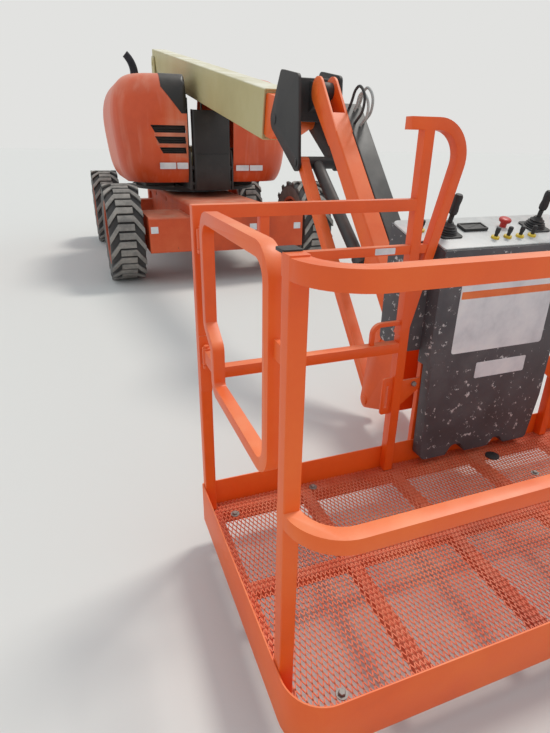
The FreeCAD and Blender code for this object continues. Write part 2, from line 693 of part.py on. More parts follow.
def hood(label, side):
    shell = hood_solid(side, 0).cut(hood_solid(side, size.hood_wall))
    if side < 0:
        for middle, height, outer_end in LOUVRES:
            lean = height * 0.6
            slot_back = size.hood_front - 380
            outline = [Vector(slot_back, outer_end - lean / 2, middle + height / 2),
                       Vector(slot_back, -290, middle + height / 2),
                       Vector(slot_back, -280, middle - height / 2),
                       Vector(slot_back, outer_end + lean / 2, middle - height / 2)]
            shell = shell.cut(flat_face(outline).extrude(Vector(500, 0, 0)))
        pipe_foot = Vector(size.exhaust_x, size.exhaust_y, size.hood_top - 260)
        shell = shell.cut(Part.makeCylinder(size.exhaust_radius + size.pin_fit, 300, pipe_foot))
    for ear in hood_ears(side):
        shell = shell.fuse(ear)
    return shape_feature(label, shell)


def louvre_panel():
    """The dark slatted insert behind the engine hood's three slots."""
    body = new_body("louvre_panel")
    back = size.hood_front - size.hood_wall - 46
    outline = rounded([(-680, 1280, 20), (-275, 1280, 20), (-275, 1600, 20), (-680, 1600, 20)])
    pad(body, "panel", "X", [outline], str(back), str(back + 4))
    for index, (middle, height, outer_end) in enumerate(LOUVRES):
        for step in (-1, 0, 1):
            z = middle + step * height / 3
            slat = rounded([(back + 3, z - 3), (back + 26, z - 11), (back + 26, z - 8), (back + 3, z + 1)])
            pad(body, f"slat_{index}_{step + 1}", "Y", [slat], "-650", "-290")
    return body


def exhaust_stack():
    """The stack's elbow: a straight foot and one bend that leans outwards and back."""
    body = new_body("exhaust_stack", "exhaust_x", "exhaust_y", "hood_top - 150")
    route = body.newObject("Sketcher::SketchObject", "route")
    route.AttachmentSupport = [(origin_feature(body, "YZ_Plane"), "")]
    route.MapMode = "FlatFace"
    straight, bend = 190, 260
    turn = math.radians(50)
    top = Vector(0, straight, 0)
    centre = Vector(-bend, straight, 0)
    end = centre + Vector(math.cos(turn), math.sin(turn), 0) * bend
    mid = centre + Vector(math.cos(turn / 2), math.sin(turn / 2), 0) * bend
    route.addGeometry(Part.LineSegment(Vector(0, 0, 0), top), False)
    route.addGeometry(Part.Arc(top, mid, end), False)
    ring = body.newObject("Sketcher::SketchObject", "ring")
    ring.AttachmentSupport = [(origin_feature(body, "XY_Plane"), "")]
    ring.MapMode = "FlatFace"
    ring.addGeometry(circle(0, 0, size.exhaust_radius), False)
    ring.addGeometry(circle(0, 0, size.exhaust_radius - 3), False)
    pipe = body.newObject("PartDesign::AdditivePipe", "pipe")
    pipe.Profile = ring
    pipe.Spine = (route, ["Edge1", "Edge2"])
    return body


# Telescoping tower

def box_tube(body, name, width, height, wall, start, end, middle=0.0):
    """A tube along the body's X axis, centred on height middle. It returns the outline of its inside."""
    outer = rectangle(-width / 2, width / 2, middle - height / 2, middle + height / 2, 14)
    pad(body, name, "X", [outer], start, end)
    half_width, half_height = width / 2 - wall, height / 2 - wall
    return rectangle(-half_width, half_width, middle - half_height, middle + half_height, 4)


def tube_outline(width, height, grown, middle=0.0, corner=4):
    """A tube's outline, grown outwards (or shrunk, if below nought) all round."""
    half_width, half_height = width / 2 + grown, height / 2 + grown
    bend = max(corner + grown, 4)
    return rectangle(-half_width, half_width, middle - half_height, middle + half_height, bend)


def tower_base():
    body = new_body("tower_base")
    foot_x, foot_z = size.tower_foot_x, size.tower_foot_z
    inner = box_tube(body, "tube", size.tower_width, size.tower_height, size.tower_wall,
                     "tower_base_end", "tower_foot_x + 70", middle=foot_z)
    bar(body, "foot_boss", foot_x, foot_z, "78", "-side_plate_y + side_fit", "side_plate_y - side_fit")
    lug_x = foot_x - size.tower_cylinder_lug
    lug_z = foot_z - size.tower_cylinder_drop
    lug = tangent_plate([(lug_x, lug_z, 38), (lug_x + 130, foot_z - size.tower_height / 2 + 4, 1),
                         (lug_x - 130, foot_z - size.tower_height / 2 + 4, 1)])
    for name, low, high in (("left_lug", "-58", "-40"), ("right_lug", "40", "58")):
        pad(body, name, "Y", [lug], low, high)
    pocket(body, "inside", "X", [inner], "tower_base_end", "tower_foot_x - 110")
    opening = tube_outline(size.tower_fly_width, size.tower_fly_height, size.wear_gap, foot_z, 14)
    pad(body, "mouth_pads", "X", [inner, opening], "tower_base_end + 6", "tower_base_end + 66")
    bore(body, "foot_hole", foot_x, foot_z, "tower_pin_radius + pin_fit", "-side_plate_y", "side_plate_y")
    return body


def tower_fly():
    body = new_body("tower_fly")
    z = size.tower_foot_z
    head = size.tower_head_x
    tail = size.tower_foot_x - 180
    inner = box_tube(body, "tube", size.tower_fly_width, size.tower_fly_height, size.fly_wall,
                     "tower_head_x + 110", str(tail), middle=z)
    pocket(body, "inside", "X", [inner], "tower_head_x + 125", str(tail))
    cheek = tangent_plate([(head, z, 62), (head + 122, z - 100, 1), (head + 122, z + 100, 1)])
    pad(body, "head", "Y", [cheek], "-tower_fly_width / 2", "tower_fly_width / 2")
    bar(body, "head_boss", head, z, "62", "-upright_inner + side_fit", "upright_inner - side_fit")
    outer = tube_outline(size.tower_width, size.tower_height, -size.tower_wall - size.wear_gap, z)
    pad(body, "tail_pads", "X", [outer, inner], str(tail - 70), str(tail - 10))
    bore(body, "head_hole", head, z, "head_pin_radius + pin_fit", "-upright_inner", "upright_inner")
    return body


def upright():
    body = new_body("upright")
    head_x, head_z = size.tower_head_x, size.tower_foot_z
    back, web_low, web_high = size.boom_foot_x - 106, head_z + 210, size.boom_foot_z - 265
    plate_outline = tangent_plate([(head_x, head_z, 84), (size.lift_foot_x, size.lift_foot_z, 74),
                                   (size.boom_foot_x, size.boom_foot_z, 92), (back + 26, web_high + 5, 26),
                                   (back + 26, web_low + 10, 26)])
    near, far = "upright_inner", "upright_inner + upright_plate"
    pad(body, "left_plate", "Y", [plate_outline], f"-({far})", f"-({near})")
    pad(body, "right_plate", "Y", [plate_outline], near, far)
    pad(body, "back_web", "Y", [rectangle(back, back + 18, web_low, web_high, 4)], f"-({far})", far)
    shelf = (web_low + web_high) / 2 + 160
    pad(body, "web_flange", "Y", [rectangle(back + 6, back + 56, shelf - 8, shelf + 8)], f"-({near})", near)
    for name, x, z, radius in (("tower_pin", head_x, head_z, "head_pin_radius"),
                               ("boom_pin", size.boom_foot_x, size.boom_foot_z, "boom_pin_radius"),
                               ("cylinder_pin", size.lift_foot_x, size.lift_foot_z, "lift_pin_radius")):
        bar(body, name, x, z, radius, f"-({far}) - 8", f"{far} + 8")
    return body


# Main boom, drawn along its own slope from the boom's foot pin

def boom_body(label):
    return new_body(label, "boom_foot_x", "0", "boom_foot_z", size.boom_slope)


def boom_base():
    body = boom_body("boom_base")
    half_height = size.boom_height / 2
    inner = box_tube(body, "tube", size.boom_width, size.boom_height, size.boom_wall,
                     "-boom_tail", "boom_end")
    bar(body, "foot_boss", 0, 0, "74", "-upright_inner + side_fit", "upright_inner - side_fit")
    along, drop = size.lift_lug_along, size.lift_lug_drop
    lug = tangent_plate([(along, -drop, 50), (along + 190, -half_height + 3, 1),
                         (along - 190, -half_height + 3, 1)])
    for name, low, high in (("left_lug", "-62", "-42"), ("right_lug", "42", "62")):
        pad(body, name, "Y", [lug], low, high)
    pocket(body, "inside", "X", [inner], "130", "boom_end")
    opening = tube_outline(size.fly_width, size.fly_height, size.wear_gap, corner=14)
    pad(body, "mouth_pads", "X", [inner, opening], "boom_end - 90", "boom_end - 10")
    bore(body, "foot_hole", 0, 0, "boom_pin_radius + pin_fit", "-upright_inner", "upright_inner")
    return body


def boom_fly():
    body = boom_body("boom_fly")
    half = size.fly_height / 2
    inner = box_tube(body, "tube", size.fly_width, size.fly_height, size.fly_wall,
                     "fly_start", "boom_end + 60")
    along, up = size.nose_pin_along, size.nose_pin_up
    nose_start = size.boom_end + 20
    nose = tangent_plate([(nose_start, -half + 1, 1), (nose_start + 130, -half + 1, 1), (along, up, 74),
                          (along - 70, half - 1, 1), (nose_start, half - 1, 1)])
    pad(body, "nose", "Y", [nose], "-fly_width / 2", "fly_width / 2")
    bar(body, "nose_boss", along, up, "62", "-bracket_inner + side_fit", "bracket_inner - side_fit")
    pocket(body, "inside", "X", [inner], "fly_start", "boom_end + 90")
    outer = tube_outline(size.boom_width, size.boom_height, -size.boom_wall - size.wear_gap)
    pad(body, "tail_pads", "X", [outer, inner], "fly_start + 8", "fly_start + 88")
    bore(body, "nose_hole", along, up, "nose_pin_radius + pin_fit", "-bracket_inner", "bracket_inner")
    return body


# Level bracket and jib

def level_bracket():
    body = new_body("level_bracket")
    pin_x, pin_z = size.jib_pin_x, size.jib_pin_z
    side_outline = tangent_plate([(nose_x, nose_z, 78), (link_top_x, link_top_z, 52),
                                  (pin_x - 100, pin_z + 65, 35), (pin_x - 350, pin_z + 105, 40)])
    near, far = "bracket_inner", "bracket_inner + bracket_plate"
    pad(body, "left_plate", "Y", [side_outline], f"-({far})", f"-({near})")
    pad(body, "right_plate", "Y", [side_outline], near, far)
    block = rectangle(pin_x - 210, pin_x - 150, pin_z - 165, pin_z + 85, 8)
    pad(body, "cross_block", "Y", [block], f"-({near})", near)
    tongue = tangent_plate([(pin_x - 180, pin_z - 90, 30), (pin_x, pin_z, 48), (pin_x - 180, pin_z + 40, 30)])
    pad(body, "jib_tongue", "Y", [tongue], "-jib_tongue_half + side_fit", "jib_tongue_half - side_fit")
    low, high = f"-({far} + pin_proud)", f"{far} + pin_proud"
    bar(body, "nose_pin", nose_x, nose_z, "nose_pin_radius", low, high)
    bar(body, "link_pin", link_top_x, link_top_z, "link_pin_radius", low, high)
    bore(body, "jib_hole", pin_x, pin_z, "jib_pin_radius + pin_fit", "-jib_tongue_half", "jib_tongue_half")
    return body


def jib_body(label, x="jib_pin_x", z="jib_pin_z"):
    return new_body(label, x, "0", z, size.jib_slope)


def jib_arm():
    body = jib_body("jib_arm")
    half = size.jib_depth / 2
    length = size.jib_length
    head = tangent_plate([(0, 0, 80), (360, -half + 1, 1), (360, half - 1, 1)])
    pad(body, "head", "Y", [head], "-jib_width / 2", "jib_width / 2")
    pad(body, "tube", "X", [rectangle(-size.jib_width / 2, size.jib_width / 2, -half, half, 10)],
        "340", "jib_length - 30")
    pocket(body, "fork", "Y", [rectangle(-100, 230, -100, 100)],
           "-jib_tongue_half - side_fit", "jib_tongue_half + side_fit")
    bar(body, "end_boss", length, 0, "62", "-bracket_inner + side_fit", "bracket_inner - side_fit")
    along, drop = size.jib_lug_along, size.jib_lug_drop
    lug = tangent_plate([(along, -drop, 36), (along + 120, -half + 3, 1), (along - 120, -half + 3, 1)])
    for name, low, high in (("left_lug", "-44", "-30"), ("right_lug", "30", "44")):
        pad(body, name, "Y", [lug], low, high)
    bar(body, "jib_pin", 0, 0, "jib_pin_radius", "-jib_width / 2 - 3", "jib_width / 2 + 3")
    bore(body, "end_hole", length, 0, "jib_pin_radius + pin_fit", "-bracket_inner", "bracket_inner")
    return body


def hose_guard():
    """The dark channel along the jib that carries the hoses to the platform."""
    body = jib_body("hose_guard")
    near = size.jib_width / 2
    far = near + 124
    outline = rounded([(near + 1, -56), (near + 6, -56), (near + 6, 53, 4), (far - 5, 53, 8), (far - 5, -56),
                       (far, -56), (far, 58, 12), (near + 1, 58, 8)])
    pad(body, "channel", "X", [outline], "150", "jib_length - 370")
    for name, along in (("upper", 300), ("lower", 1050)):
        pad(body, name + "_tie", "X", [rectangle(near, far - 2, 20, 26)], str(along), str(along + 60))
    return body


def jib_link():
    body = jib_body("jib_link", "jib_pin_x + link_offset_x", "jib_pin_z + link_offset_z")
    half = size.link_size / 2
    y_low, y_high = "link_y - link_size / 2", "link_y + link_size / 2"
    length = size.jib_length
    pad(body, "tube", "Y", [rectangle(0, length, -half, half)], y_low, y_high)
    bar(body, "top_eye", 0, 0, "38", y_low, y_high)
    bar(body, "end_eye", length, 0, "38", y_low, y_high)
    bore(body, "top_hole", 0, 0, "link_pin_radius + pin_fit", y_low, y_high)
    bore(body, "end_hole", length, 0, "link_pin_radius + pin_fit", y_low, y_high)
    return body


def platform_support():
    body = new_body("platform_support")
    end_x, end_z = arm_end_x, arm_end_z
    low_x, low_z = link_end_x, link_end_z
    web_x = size.rotator_x - size.rotator_radius + 10
    outline = tangent_plate([(low_x, low_z, 42), (web_x - 10, size.rotator_floor + 23, 10),
                             (web_x - 10, size.rotator_top - 21, 10), (end_x, end_z, 66)])
    near, far = "bracket_inner", "bracket_inner + bracket_plate"
    pad(body, "left_plate", "Y", [outline], f"-({far})", f"-({near})")
    pad(body, "right_plate", "Y", [outline], near, far)
    block = rectangle(web_x - 72, web_x, size.rotator_floor + 18, size.rotator_top - 16, 6)
    pad(body, "cross_block", "Y", [block], f"-({near})", near)
    bar(body, "rotator", size.rotator_x, 0, "rotator_radius", "rotator_floor", "rotator_top", "Z")
    bar(body, "arm_pin", end_x, end_z, "jib_pin_radius", f"-({far} + pin_proud)", f"{far} + pin_proud")
    bar(body, "link_pin", low_x, low_z, "link_pin_radius",
        f"-({far} + pin_proud)", "link_y + link_size / 2 + 1")
    bore(body, "rotator_hole", size.rotator_x, 0, "rotator_pin_radius + pin_fit",
         "rotator_floor", "rotator_top", "Z")
    return body


# Hydraulic cylinders, each drawn along its own axis from its foot pin

# Name, barrel length, rod length, foot pin, foot boss, both ends of the boss, half width of the rod eye
CYLINDERS = [
    ("tower", 650, 715, "tower_cylinder_pin", 42, "-61.6", "61.6", 36),
    ("lift", 950, 985, "lift_pin_radius", 50, "-upright_inner + side_fit", "upright_inner - side_fit", 38),
    ("jib", 870, 890, "link_pin_radius", 38, "link_y + link_size / 2 + 0.4", "bracket_inner - side_fit", 22),
]

tower_eye = (size.tower_foot_x - size.tower_cylinder_lug, size.tower_foot_z - size.tower_cylinder_drop)
CYLINDER_ENDS = {
    "tower": ((size.tower_cylinder_foot_x, size.tower_cylinder_foot_z), tower_eye),
    "lift": ((size.lift_foot_x, size.lift_foot_z), on_boom(size.lift_lug_along, -size.lift_lug_drop)),
    "jib": ((link_top_x, link_top_z), on_jib(size.jib_lug_along, -size.jib_lug_drop)),
}


def cylinder(name, barrel_length, rod_length, pin, boss, boss_low, boss_high, eye_half):
    (foot_x, foot_z), (eye_x, eye_z) = CYLINDER_ENDS[name]
    tilt = -math.degrees(math.atan2(eye_z - foot_z, eye_x - foot_x))
    length = math.hypot(eye_z - foot_z, eye_x - foot_x)
    outer = getattr(size, name + "_barrel_radius")
    rod = getattr(size, name + "_rod_radius")
    hollow = outer - size.barrel_wall
    mouth = rod + size.pin_fit
    gland = barrel_length - 50

    barrel = new_body(name + "_barrel", str(foot_x), "0", str(foot_z), tilt)
    profile = rounded([(0, 0), (0, outer * 0.7), (boss * 0.8, outer), (barrel_length - 62, outer),
                       (barrel_length - 58, outer + 5), (barrel_length, outer + 5), (barrel_length, mouth),
                       (gland, mouth), (gland, hollow), (boss + 14, hollow), (boss + 14, 0)])
    turned(barrel, "barrel", "Z", "X", [profile])
    bar(barrel, "foot_boss", 0, 0, str(boss), boss_low, boss_high)
    bore(barrel, "foot_hole", 0, 0, f"{pin} + pin_fit", boss_low, boss_high)

    piston_rod = new_body(name + "_rod", str(foot_x), "0", str(foot_z), tilt)
    start = length - rod_length
    head = hollow - size.pin_fit
    head_end = start + 40
    profile = rounded([(start, 0), (start, head), (head_end, head), (head_end, rod),
                       (length, rod), (length, 0)])
    turned(piston_rod, "rod", "Z", "X", [profile])
    bar(piston_rod, "eye", length, 0, str(rod + 12), f"-{eye_half}", str(eye_half))


# Platform

def platform_mount():
    """The clevis that hangs the platform on its rotator."""
    body = new_body("platform_mount")
    back, face = size.platform_far - 22, size.platform_far
    reach = size.rotator_radius - 12
    clevis = rounded([(size.rotator_x - reach, -reach, 50), (back + 2, -size.clevis_half),
                      (back + 2, size.clevis_half), (size.rotator_x - reach, reach, 50)])
    low, high = "rotator_floor - clevis_gap - clevis_plate", "rotator_top + clevis_gap + clevis_plate"
    pad(body, "lower_clevis", "Z", [clevis], low, "rotator_floor - clevis_gap")
    pad(body, "upper_clevis", "Z", [clevis], "rotator_top + clevis_gap", high)
    pad(body, "back_plate", "Z", [rectangle(back, face, -300, 300)], str(frame_floor + 10), high)
    gusset_floor = size.rotator_floor - size.clevis_gap - 2
    gusset = rounded([(back + 2, gusset_floor), (back + 2, gusset_floor + 136), (back - 90, gusset_floor)])
    for name, near, far in (("left_gusset", "-clevis_half + 2", "-clevis_half + 14"),
                            ("right_gusset", "clevis_half - 14", "clevis_half - 2")):
        pad(body, name, "Y", [gusset], near, far)
    bar(body, "rotator_pin", size.rotator_x, 0, "rotator_pin_radius", low, high, "Z")
    return body


def floor_outline(inset):
    """The platform's outline in plan, drawn in by inset. Its bends keep to the rails' bends."""
    far, near, half = size.platform_far + inset, platform_near - inset, size.platform_half - inset
    bend = max(size.rail_bend + 1 - inset, 50)
    corner = max(8 - inset, 3)
    return rounded([(far, -half, corner), (near, -half, bend), (near, half, bend), (far, half, corner)])


def floor_frame():
    body = new_body("floor_frame")
    top = "floor_z - mesh_plate"
    low = top + " - floor_bar_depth"
    border = [floor_outline(floor_inset), floor_outline(floor_inset + 50)]
    pad(body, "border", "Z", border, str(frame_floor), top)
    start, end = size.platform_far + floor_inset + 40, platform_near - floor_inset - 40
    side = size.platform_half - floor_inset - 40
    half = size.floor_bar / 2
    for index in range(5):
        y = (index - 2) * size.platform_half / 3
        pad(body, f"cross_{index}", "Z", [rectangle(start, end, y - half, y + half)], low, top)
    middle = size.platform_far + 430
    pad(body, "middle_bar", "Z", [rectangle(middle - half, middle + half, -side, side)], low, top)
    return body


def floor_mesh():
    """The floor as one sheet inside the toe boards."""
    body = new_body("floor_mesh")
    pad(body, "sheet", "Z", [floor_outline(floor_inset)], "floor_z - mesh_plate", "floor_z")
    return body


def toe_board():
    body = new_body("toe_board")
    pad(body, "board", "Z", [floor_outline(0), floor_outline(size.toe_plate)],
        "floor_z + toe_top - toe_height", "floor_z + toe_top")
    return body


def post(body, name, x, y, high):
    half = size.rail_tube / 2
    pad(body, name, "Z", [rectangle(x - half, x + half, y - half, y + half, 4)], "floor_z", high)


def platform_rails():
    body = new_body("platform_rails")
    tube = size.rail_tube
    inner_y = size.guard_y + size.guard_tube / 2
    bend = size.rail_bend
    levels = [("top", "floor_z + rail_top - rail_tube", "floor_z + rail_top"),
              ("middle", "floor_z + mid_rail - rail_tube / 2", "floor_z + mid_rail + rail_tube / 2")]
    route = [(near_post_x - tube / 2, -side_rail_y), (near_rail_x, -side_rail_y, bend),
             (near_rail_x, side_rail_y, bend), (far_rail_x - tube / 2, side_rail_y)]
    for level, low, high in levels:
        pad(body, level + "_rail", "Z", band(route, tube), low, high)
    posts = [("far_left_post", far_rail_x, -side_rail_y, "floor_z + rail_top"),
             ("near_left_post", near_post_x, -side_rail_y, "floor_z + rail_top + 3"),
             ("near_right_post", near_post_x, side_rail_y, "floor_z + rail_top - 1"),
             ("far_right_post", far_rail_x, side_rail_y, "floor_z + rail_top - 1")]
    for name, x, y, high in posts:
        post(body, name, x, y, high)
    low_x, high_x = far_rail_x - tube / 2, far_rail_x + tube / 2
    for level, low, high in levels:
        for side, y_low, y_high in (("left", -side_rail_y, -inner_y), ("right", inner_y, side_rail_y)):
            pad(body, f"far_{side}_{level}", "Z", [rectangle(low_x, high_x, y_low, y_high)], low, high)
    ear = rectangle(high_x - 4, hinge_x + 12, -side_rail_y - 12, -side_rail_y + 12, 8)
    for name in ("lower", "upper"):
        height = f"floor_z + {name}_hinge"
        pad(body, name + "_hinge_ear", "Z", [ear], height + " - 44", height + " - 32")
        bar(body, name + "_hinge_pin", hinge_x, -side_rail_y, "gate_pin_radius",
            height + " - 44", height + " + 34", "Z")
    plate_low = size.floor_z + size.lower_hinge - 140
    plate = rectangle(-side_rail_y - tube / 2, -side_rail_y + tube / 2, plate_low, plate_low + 200, 6)
    pad(body, "hinge_plate", "X", [plate], str(high_x - 1), str(high_x + 5))
    return body


def gate_frame():
    body = new_body("gate_frame")
    tube = size.gate_tube
    half = tube / 2
    base = size.floor_z
    low, high = str(-side_rail_y - half), str(-side_rail_y + half)
    start, end = hinge_x + 66, near_post_x - 104
    jog_x = start + 78
    arm_z = base + size.lower_hinge
    top, bottom, jog = base + size.rail_top - half, arm_z - 50, arm_z + 130
    loop = [(start, top, 62), (start, jog, 20), (jog_x, jog - 50, 20), (jog_x, bottom, 30),
            (end, bottom, 62), (end, top, 62)]
    pad(body, "loop", "Y", band(loop, tube, closed=True), low, high)
    for name, reach in (("lower", jog_x), ("upper", start)):
        height = f"floor_z + {name}_hinge"
        arm = rectangle(hinge_x, reach, -side_rail_y - 8, -side_rail_y + 8)
        pad(body, name + "_arm", "Z", [arm], height + " - 20", height + " + 20")
        low, high = height + " - 30", height + " + 26"
        bar(body, name + "_barrel", hinge_x, -side_rail_y, "gate_pin_radius + 6", low, high, "Z")
        bore(body, name + "_hole", hinge_x, -side_rail_y, "gate_pin_radius + pin_fit", low, high, "Z")
    latch = rectangle(end, near_post_x - size.rail_tube / 2 - size.gate_gap, base + 880, base + 920, 4)
    pad(body, "latch", "Y", [latch], str(-side_rail_y - 5), str(-side_rail_y + 5))
    return body


def console_guards():
    """The two bent guards beside the console, with the hand bar and the small plates."""
    body = new_body("console_guards")
    tube = size.guard_tube
    base, middle = size.floor_z, size.guard_y
    low, high = str(far_rail_x - tube / 2), str(far_rail_x + tube / 2)
    plate_low, plate_high = str(far_rail_x - 4), str(far_rail_x + 4)
    top = base + size.guard_height - tube / 2
    for side, sign in (("left", -1), ("right", 1)):
        leg = [(sign * middle, base), (sign * middle, top + tube / 2)]
        pad(body, side + "_leg", "X", band(leg, tube), low, high)
        waist, crown_end = middle - 64, middle - 168
        loop = [(sign * (middle + 8), base + 610), (sign * waist, base + 900, 500),
                (sign * crown_end, top, 105), (sign * (middle + 72), top)]
        pad(body, side + "_loop", "X", band(loop, tube), low, high)
        leg_side, console_side = middle - 17, size.console_half + size.side_fit
        gusset = [(sign * leg_side, base + 410), (sign * leg_side, base + 290),
                  (sign * console_side, base + 365, 12), (sign * console_side, base + 410)]
        pad(body, side + "_gusset", "X", [rounded(gusset)], plate_low, plate_high)
        near, far = middle + 17, middle + 62
        slotted = rounded([(sign * near, base + 270), (sign * near, base + 430),
                           (sign * far, base + 430, 12), (sign * far, base + 270, 12)])
        slot = rounded([(sign * (near + 17), base + 300), (sign * (near + 17), base + 395),
                        (sign * (far - 16), base + 395), (sign * (far - 16), base + 300)])
        pad(body, side + "_slotted", "X", [slotted, slot], plate_low, plate_high)
    hand_bar = [(-size.hand_bar_y, base + size.rail_top - size.rail_tube),
                (-size.hand_bar_y, base + size.hand_bar_z, 70), (-middle + 68, base + size.hand_bar_z)]
    pad(body, "hand_bar", "X", band(hand_bar, 30), str(far_rail_x - 15), str(far_rail_x + 15))
    handle_foot, handle_top = base + size.mid_rail + size.rail_tube / 2, base + size.mid_rail + 96
    handle = [(-middle - 130, handle_foot), (-middle - 130, handle_top, 34), (-middle - 16, handle_top)]
    pad(body, "handle", "X", band(handle, 16), str(far_rail_x - 8), str(far_rail_x + 8))
    return body


deck_slope = math.radians(size.deck_tilt)
console_front = far_rail_x + size.console_proud
console_rise = size.floor_z + size.console_rise


def deck_height(x):
    """Height of the console's sloping top above the ground at x."""
    return console_rise + (console_front - x) * math.tan(deck_slope)


def console_body():
    body = new_body("console_body")
    back, rail_back = size.console_back, far_rail_x - size.rail_tube / 2 - size.console_gap
    base = size.floor_z
    half = size.console_half
    under_deck = size.deck_plate + 1
    join = rail_back + 1
    rear = rounded([(back, base + 520, 20), (join, base + 520),
                    (join, deck_height(join) - under_deck), (back, deck_height(back) - under_deck)])
    pad(body, "rear_box", "Y", [rear], "-console_rear_half", "console_rear_half")
    front = rounded([(rail_back, base + 470), (console_front, base + 470),
                     (console_front, console_rise - under_deck),
                     (rail_back, deck_height(rail_back) - under_deck)])
    pad(body, "front_box", "Y", [front], "-console_half", "console_half")
    low = base + 30
    skirt = rounded([(-half + 28, low, 30), (-160, low), (-130, low + 45, 24), (-85, low + 45, 24),
                     (-55, low), (70, low), (95, low + 36, 20), (135, low + 36, 20), (160, low),
                     (half - 28, low, 20), (half, low + 220), (half, base + 472), (-half + 18, base + 472)])
    pad(body, "skirt", "X", [skirt], str(far_rail_x - 15), str(console_front))
    return body


def console_deck():
    body = new_body("console_deck", str(console_front), "0", str(console_rise), math.degrees(deck_slope))
    depth = (console_front - size.console_back) / math.cos(deck_slope)
    step = (size.console_proud + size.rail_tube / 2 + size.console_gap) / math.cos(deck_slope)
    half, rear_half = size.console_half, size.console_rear_half
    outline = rounded([(0, -half, 14), (0, half, 14), (-step, half), (-step, rear_half),
                       (-depth, rear_half, 30), (-depth, -rear_half, 30),
                       (-step, -rear_half), (-step, -half)])
    pad(body, "plate", "Z", [outline], "-deck_plate", "0")
    return body


# Place on the sloping deck: along, across, kind
CONTROLS = [
    (-120, -235, "stick"), (-130, 205, "stick"),
    (-60, -50, "switch"), (-60, 10, "switch"), (-60, 70, "switch"), (-60, 130, "switch"),
    (-150, -330, "switch"), (-150, 60, "knob"),
]


def console_controls():
    body = new_body("console_controls", str(console_front), "0", str(console_rise), math.degrees(deck_slope))
    for index, (along, across, kind) in enumerate(CONTROLS):
        if kind == "stick":
            base_plate = rectangle(along - 48, along + 48, across - 48, across + 48, 14)
            pad(body, f"plate_{index}", "Z", [base_plate], "0.1", "6")
            bar(body, f"boot_{index}", along, across, "36", "5", "24", "Z")
            bar(body, f"collar_{index}", along, across, "25", "23", "42", "Z")
            bar(body, f"stem_{index}", along, across, "9", "41", "75", "Z")
            bar(body, f"grip_{index}", along, across, "17", "74", "150", "Z")
        elif kind == "switch":
            bar(body, f"nut_{index}", along, across, "11", "0.1", "8", "Z")
            bar(body, f"lever_{index}", along, across, "5", "7", "34", "Z")
        else:
            bar(body, f"neck_{index}", along, across, "13", "0.1", "22", "Z")
            bar(body, f"knob_{index}", along, across, "24", "21", "36", "Z")
    return body


def hand_out():
    """Recompute, test every object and write one STEP file for each sub-part."""
    document.recompute()
    for item in document.Objects:
        if "Invalid" in item.State or "Error" in item.State:
            raise RuntimeError(f"{item.Label} did not build")
    for body in parts:
        shape = body.Shape
        if shape.isNull() or not shape.isValid() or not shape.Solids:
            raise RuntimeError(f"{body.Label} has no valid solid")
        shape.exportStep(f"parts/{body.Label}.step")
        print(body.Label, len(shape.Solids), "solids", round(shape.Volume / 1e6, 2), "litres")


# Wheel name, place along and across, turn of its rim about Z
WHEELS = [
    ("front_left", "-half_wheelbase", "-half_track", 180),
    ("front_right", "-half_wheelbase", "half_track", 0),
    ("rear_left", "half_wheelbase", "-half_track", 180),
    ("rear_right", "half_wheelbase", "half_track", 0),
]

for corner, x, y, turn in WHEELS:
    tyre("tyre_" + corner, x, y)
    rim("rim_" + corner, x, y, turn)
chassis_frame()
rear_axle()
front_axle()
knuckle("knuckle_left", -1)
knuckle("knuckle_right", 1)
tie_rod()
slew_bearing()
turntable_frame()
counterweight()
centre_cover()
engine_block()
fuel_tank()
hood("hood_left", -1)
hood("hood_right", 1)
louvre_panel()
exhaust_stack()
tower_base()
tower_fly()
upright()
boom_base()
boom_fly()
level_bracket()
jib_arm()
hose_guard()
jib_link()
platform_support()
for row in CYLINDERS:
    cylinder(*row)
platform_mount()
floor_frame()
floor_mesh()
toe_board()
platform_rails()
gate_frame()
console_guards()
console_body()
console_deck()
console_controls()
hand_out()
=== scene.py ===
# %% [markdown]
# # Dressing an articulating boom lift
# The lift's solids come in as a fixed frame: every tube, hood and wheel already has its
# size and place in metres, and each one rides on the body that moves it. This lesson adds
# what a drawing leaves out: paint, dust, rubber, rounded edges, tread and small fittings.

# %% Load the solids
import bpy
import json
import math
from mathutils import Matrix, Vector

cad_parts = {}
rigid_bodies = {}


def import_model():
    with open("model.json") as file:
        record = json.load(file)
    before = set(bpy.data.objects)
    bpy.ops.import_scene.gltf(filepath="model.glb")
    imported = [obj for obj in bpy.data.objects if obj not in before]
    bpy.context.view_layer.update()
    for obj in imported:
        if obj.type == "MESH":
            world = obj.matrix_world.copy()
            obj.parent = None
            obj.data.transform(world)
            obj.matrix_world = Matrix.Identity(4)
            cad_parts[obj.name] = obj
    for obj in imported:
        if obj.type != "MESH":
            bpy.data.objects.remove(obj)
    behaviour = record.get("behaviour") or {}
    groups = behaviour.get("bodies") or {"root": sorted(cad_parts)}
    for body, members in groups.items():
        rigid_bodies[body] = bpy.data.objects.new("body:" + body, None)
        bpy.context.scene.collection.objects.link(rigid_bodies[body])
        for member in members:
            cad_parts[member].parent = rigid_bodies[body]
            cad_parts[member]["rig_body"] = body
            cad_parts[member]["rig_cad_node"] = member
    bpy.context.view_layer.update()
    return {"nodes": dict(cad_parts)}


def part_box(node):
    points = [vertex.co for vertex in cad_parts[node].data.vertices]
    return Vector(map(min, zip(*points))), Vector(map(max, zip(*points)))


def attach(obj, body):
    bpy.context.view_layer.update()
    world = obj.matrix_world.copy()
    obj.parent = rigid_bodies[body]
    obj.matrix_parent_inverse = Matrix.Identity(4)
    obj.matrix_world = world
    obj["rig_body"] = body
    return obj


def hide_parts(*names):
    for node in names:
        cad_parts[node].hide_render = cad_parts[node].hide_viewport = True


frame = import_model()

